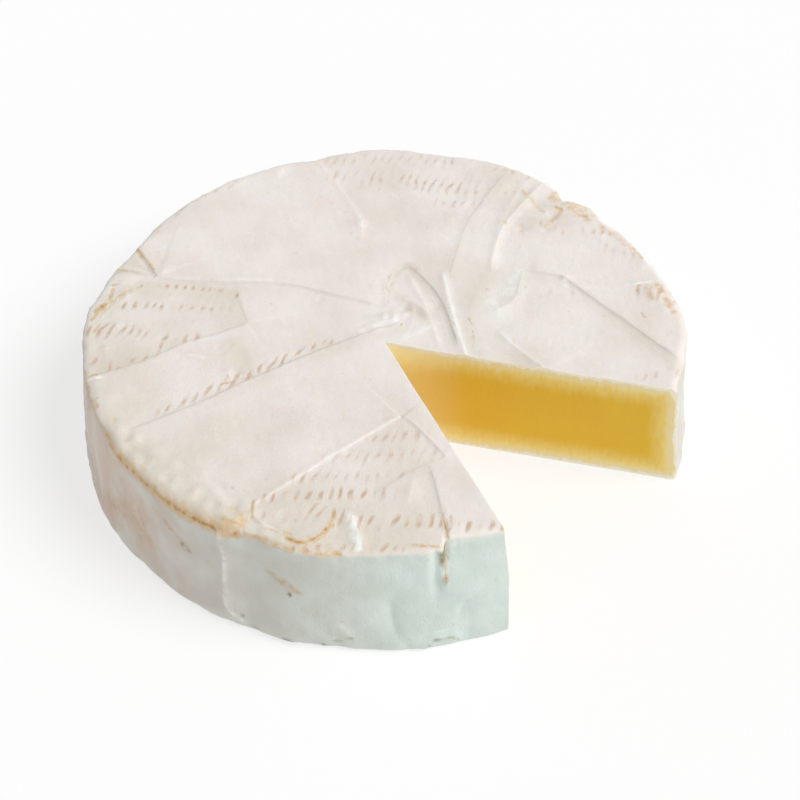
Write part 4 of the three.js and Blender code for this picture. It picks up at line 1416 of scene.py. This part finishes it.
    def build(self, rind: bpy.types.Material, paste: bpy.types.Material) -> bpy.types.Object:
        """Joins the grids to one closed mesh, with its box centred in x and y on that of the CAD node.

        Args:
            rind: The material of the outside.
            paste: The material of the cut faces.

        Returns:
            The wheel's object.
        """
        shell = self.shell()
        cuts = (self.cut_face(shell.points[:, 0]), self.cut_face(shell.points[:, -1]))
        grids = (shell, *cuts)
        faces, kinds, first = [], [], 0
        for kind, grid in zip(Face, grids):
            shape = grid.points.shape[:2]
            whole = self.faces(shape if kind is Face.RIND else (shape[0] - 1, shape[1]), first)
            if kind is not Face.RIND:
                whole = np.vstack([whole, self.foot_fans(shape, first)])
            faces.append(whole)
            kinds.append(np.full(len(whole), kind.value))
            first += shape[0] * shape[1]
        points = np.vstack([grid.points.reshape(-1, 3) for grid in grids])
        masks = {name: np.concatenate([grid.masks[name].ravel() for grid in grids])
                 for name in RIND_MASKS + PASTE_MASKS}
        _, kept, merged = np.unique(np.round(points, 5), axis=0, return_index=True,
                                    return_inverse=True)
        corners = merged.ravel()[np.vstack(faces)]
        used, renumbered = np.unique(corners, return_inverse=True)
        corners = renumbered.reshape(corners.shape)
        points = points[kept][used]
        middle = (points.min(axis=0) + points.max(axis=0)) / 2.0
        low, high = (np.array(corner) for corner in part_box(NODE))
        points[:, :2] += ((low + high) / 2.0 / MM - middle)[:2]
        mesh = self._mesh(points, corners, np.concatenate(kinds))
        for name, values in masks.items():
            layer = mesh.attributes.new(name, "FLOAT", "POINT")
            layer.data.foreach_set("value", values[kept][used].astype(np.float32))
        mesh.materials.append(rind)
        mesh.materials.append(paste)
        wheel = bpy.data.objects.new("brie_wheel_dressed", mesh)
        bpy.context.scene.collection.objects.link(wheel)
        return wheel

    def _mesh(self, points: np.ndarray, corners: np.ndarray, kinds: np.ndarray) -> bpy.types.Mesh:
        """Makes the mesh, smooth but for the edges between kinds of face.

        A corner that is the same as the next one is left out, so a face has four corners or
        three, and a face with fewer is left out too.

        Args:
            points: Points in millimetres.
            corners: Four corner numbers a face, one of them repeated in a triangle.
            kinds: The kind of each face.

        Returns:
            The mesh in metres, with its faces pointing out.
        """
        single = corners != np.roll(corners, -1, axis=1)
        sides = single.sum(axis=1).astype(np.int32)
        whole = sides > 2
        single, corners, kinds, sides = single[whole], corners[whole], kinds[whole], sides[whole]
        mesh = bpy.data.meshes.new("brie_wheel_dressed")
        mesh.vertices.add(len(points))
        mesh.vertices.foreach_set("co", (points * MM).ravel())
        mesh.loops.add(int(sides.sum()))
        mesh.loops.foreach_set("vertex_index", corners[single].astype(np.int32))
        mesh.polygons.add(len(sides))
        mesh.polygons.foreach_set("loop_start", (np.cumsum(sides) - sides).astype(np.int32))
        mesh.update(calc_edges=True)
        work = bmesh.new()
        work.from_mesh(mesh)
        bmesh.ops.recalc_face_normals(work, faces=work.faces)
        work.to_mesh(mesh)
        work.free()
        mesh.polygons.foreach_set("use_smooth", np.ones(len(kinds), bool))
        mesh.polygons.foreach_set("material_index", (kinds != Face.RIND.value).astype(np.int32))
        edge_of = np.empty(len(mesh.loops), np.int32)
        mesh.loops.foreach_get("edge_index", edge_of)
        loop_kind = np.repeat(kinds, sides)
        lowest = np.full(len(mesh.edges), len(Face))
        highest = np.full(len(mesh.edges), -1)
        np.minimum.at(lowest, edge_of, loop_kind)
        np.maximum.at(highest, edge_of, loop_kind)
        mesh.edges.foreach_set("use_edge_sharp", lowest != highest)
        mesh.update()
        return mesh


@dataclass
class Studio:
    """A lit white table, soft light from the right, and a long lens from above the front."""

    camera_at: tuple[float, float, float] = (-0.09, -340.15, 338.17)
    yaw: float = 0.648
    pitch: float = 44.284
    lens_mm: float = 90.0
    sensor_mm: float = 36.0
    key_azimuth: float = -18.0
    key_elevation: float = 48.0
    key_spread: float = 38.0
    key_strength: float = 2.12
    sky_strength: float = 0.5
    table_mm: float = 8000.0
    table_white: float = 0.34
    table_glow: float = 0.64
    table_roughness: float = 0.9
    table_specular: float = 0.1
    # How high above the horizon, as the sine of the angle, the sky changes, and its light below.
    horizon: Span = (0.06, 0.2)
    horizon_strength: float = 0.98

    def build(self) -> None:
        """Adds the camera, the table, the key light and the sky, with plain colour handling."""
        scene = bpy.context.scene
        scene.view_settings.view_transform = "Standard"
        scene.view_settings.look = "None"
        lens = bpy.data.cameras.new("camera")
        lens.lens, lens.sensor_width = self.lens_mm, self.sensor_mm
        camera = bpy.data.objects.new("camera", lens)
        camera.location = [c * MM for c in self.camera_at]
        camera.rotation_euler = (math.radians(90.0 - self.pitch), 0.0, -math.radians(self.yaw))
        scene.collection.objects.link(camera)
        scene.camera = camera
        lamp = bpy.data.lights.new("key", "SUN")
        lamp.angle, lamp.energy = math.radians(self.key_spread), self.key_strength
        key = bpy.data.objects.new("key", lamp)
        key.rotation_euler = (math.radians(90.0 - self.key_elevation), 0.0,
                              math.radians(self.key_azimuth + 90.0))
        scene.collection.objects.link(key)
        self._table()
        self._sky()

    def _table(self) -> None:
        """Adds the white table, lit from below so that shadows on it stay faint."""
        half = self.table_mm * MM / 2.0
        mesh = bpy.data.meshes.new("table")
        mesh.from_pydata([(-half, -half, 0), (half, -half, 0), (half, half, 0), (-half, half, 0)],
                         [], [(0, 1, 2, 3)])
        acrylic = bpy.data.materials.new("lit_white_acrylic")
        acrylic.use_nodes = True
        shader = acrylic.node_tree.nodes["Principled BSDF"]
        shader.inputs["Base Color"].default_value = (self.table_white,) * 3 + (1.0,)
        shader.inputs["Roughness"].default_value = self.table_roughness
        shader.inputs["Specular IOR Level"].default_value = self.table_specular
        shader.inputs["Emission Color"].default_value = (1.0, 1.0, 1.0, 1.0)
        shader.inputs["Emission Strength"].default_value = self.table_glow
        mesh.materials.append(acrylic)
        table = bpy.data.objects.new("table", mesh)
        bpy.context.scene.collection.objects.link(table)

    def _sky(self) -> None:
        """Adds even light from all round, whiter along the horizon so that it meets the table."""
        sky = bpy.data.worlds.new("sky")
        sky.use_nodes = True
        tree = sky.node_tree
        way = add_node(tree, "ShaderNodeTexCoord", {}, {}).outputs["Generated"]
        up = add_node(tree, "ShaderNodeSeparateXYZ", {}, {0: way}).outputs[2]
        strength = add_node(tree, "ShaderNodeMapRange", {"interpolation_type": "SMOOTHSTEP"}, {
            "Value": up, "From Min": self.horizon[0], "From Max": self.horizon[1],
            "To Min": self.horizon_strength, "To Max": self.sky_strength}).outputs[0]
        tree.links.new(strength, tree.nodes["Background"].inputs["Strength"])
        tree.nodes["Background"].inputs["Color"].default_value = (1.0, 1.0, 1.0, 1.0)
        bpy.context.scene.world = sky


def main() -> None:
    """Loads the frame, builds the wheel and the studio, and logs the wheel's face count."""
    logging.basicConfig(level=logging.INFO, format="%(name)s: %(message)s")
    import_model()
    wheel = BrieWheel().build(MouldRind().build(), RipePaste().build())
    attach(wheel, "root")
    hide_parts(NODE)
    LOG.info("%s: %d faces", wheel.name, len(wheel.data.polygons))
    Studio().build()
    LOG.info("studio: camera, table, key light and sky")


if __name__ == "__main__":
    main()
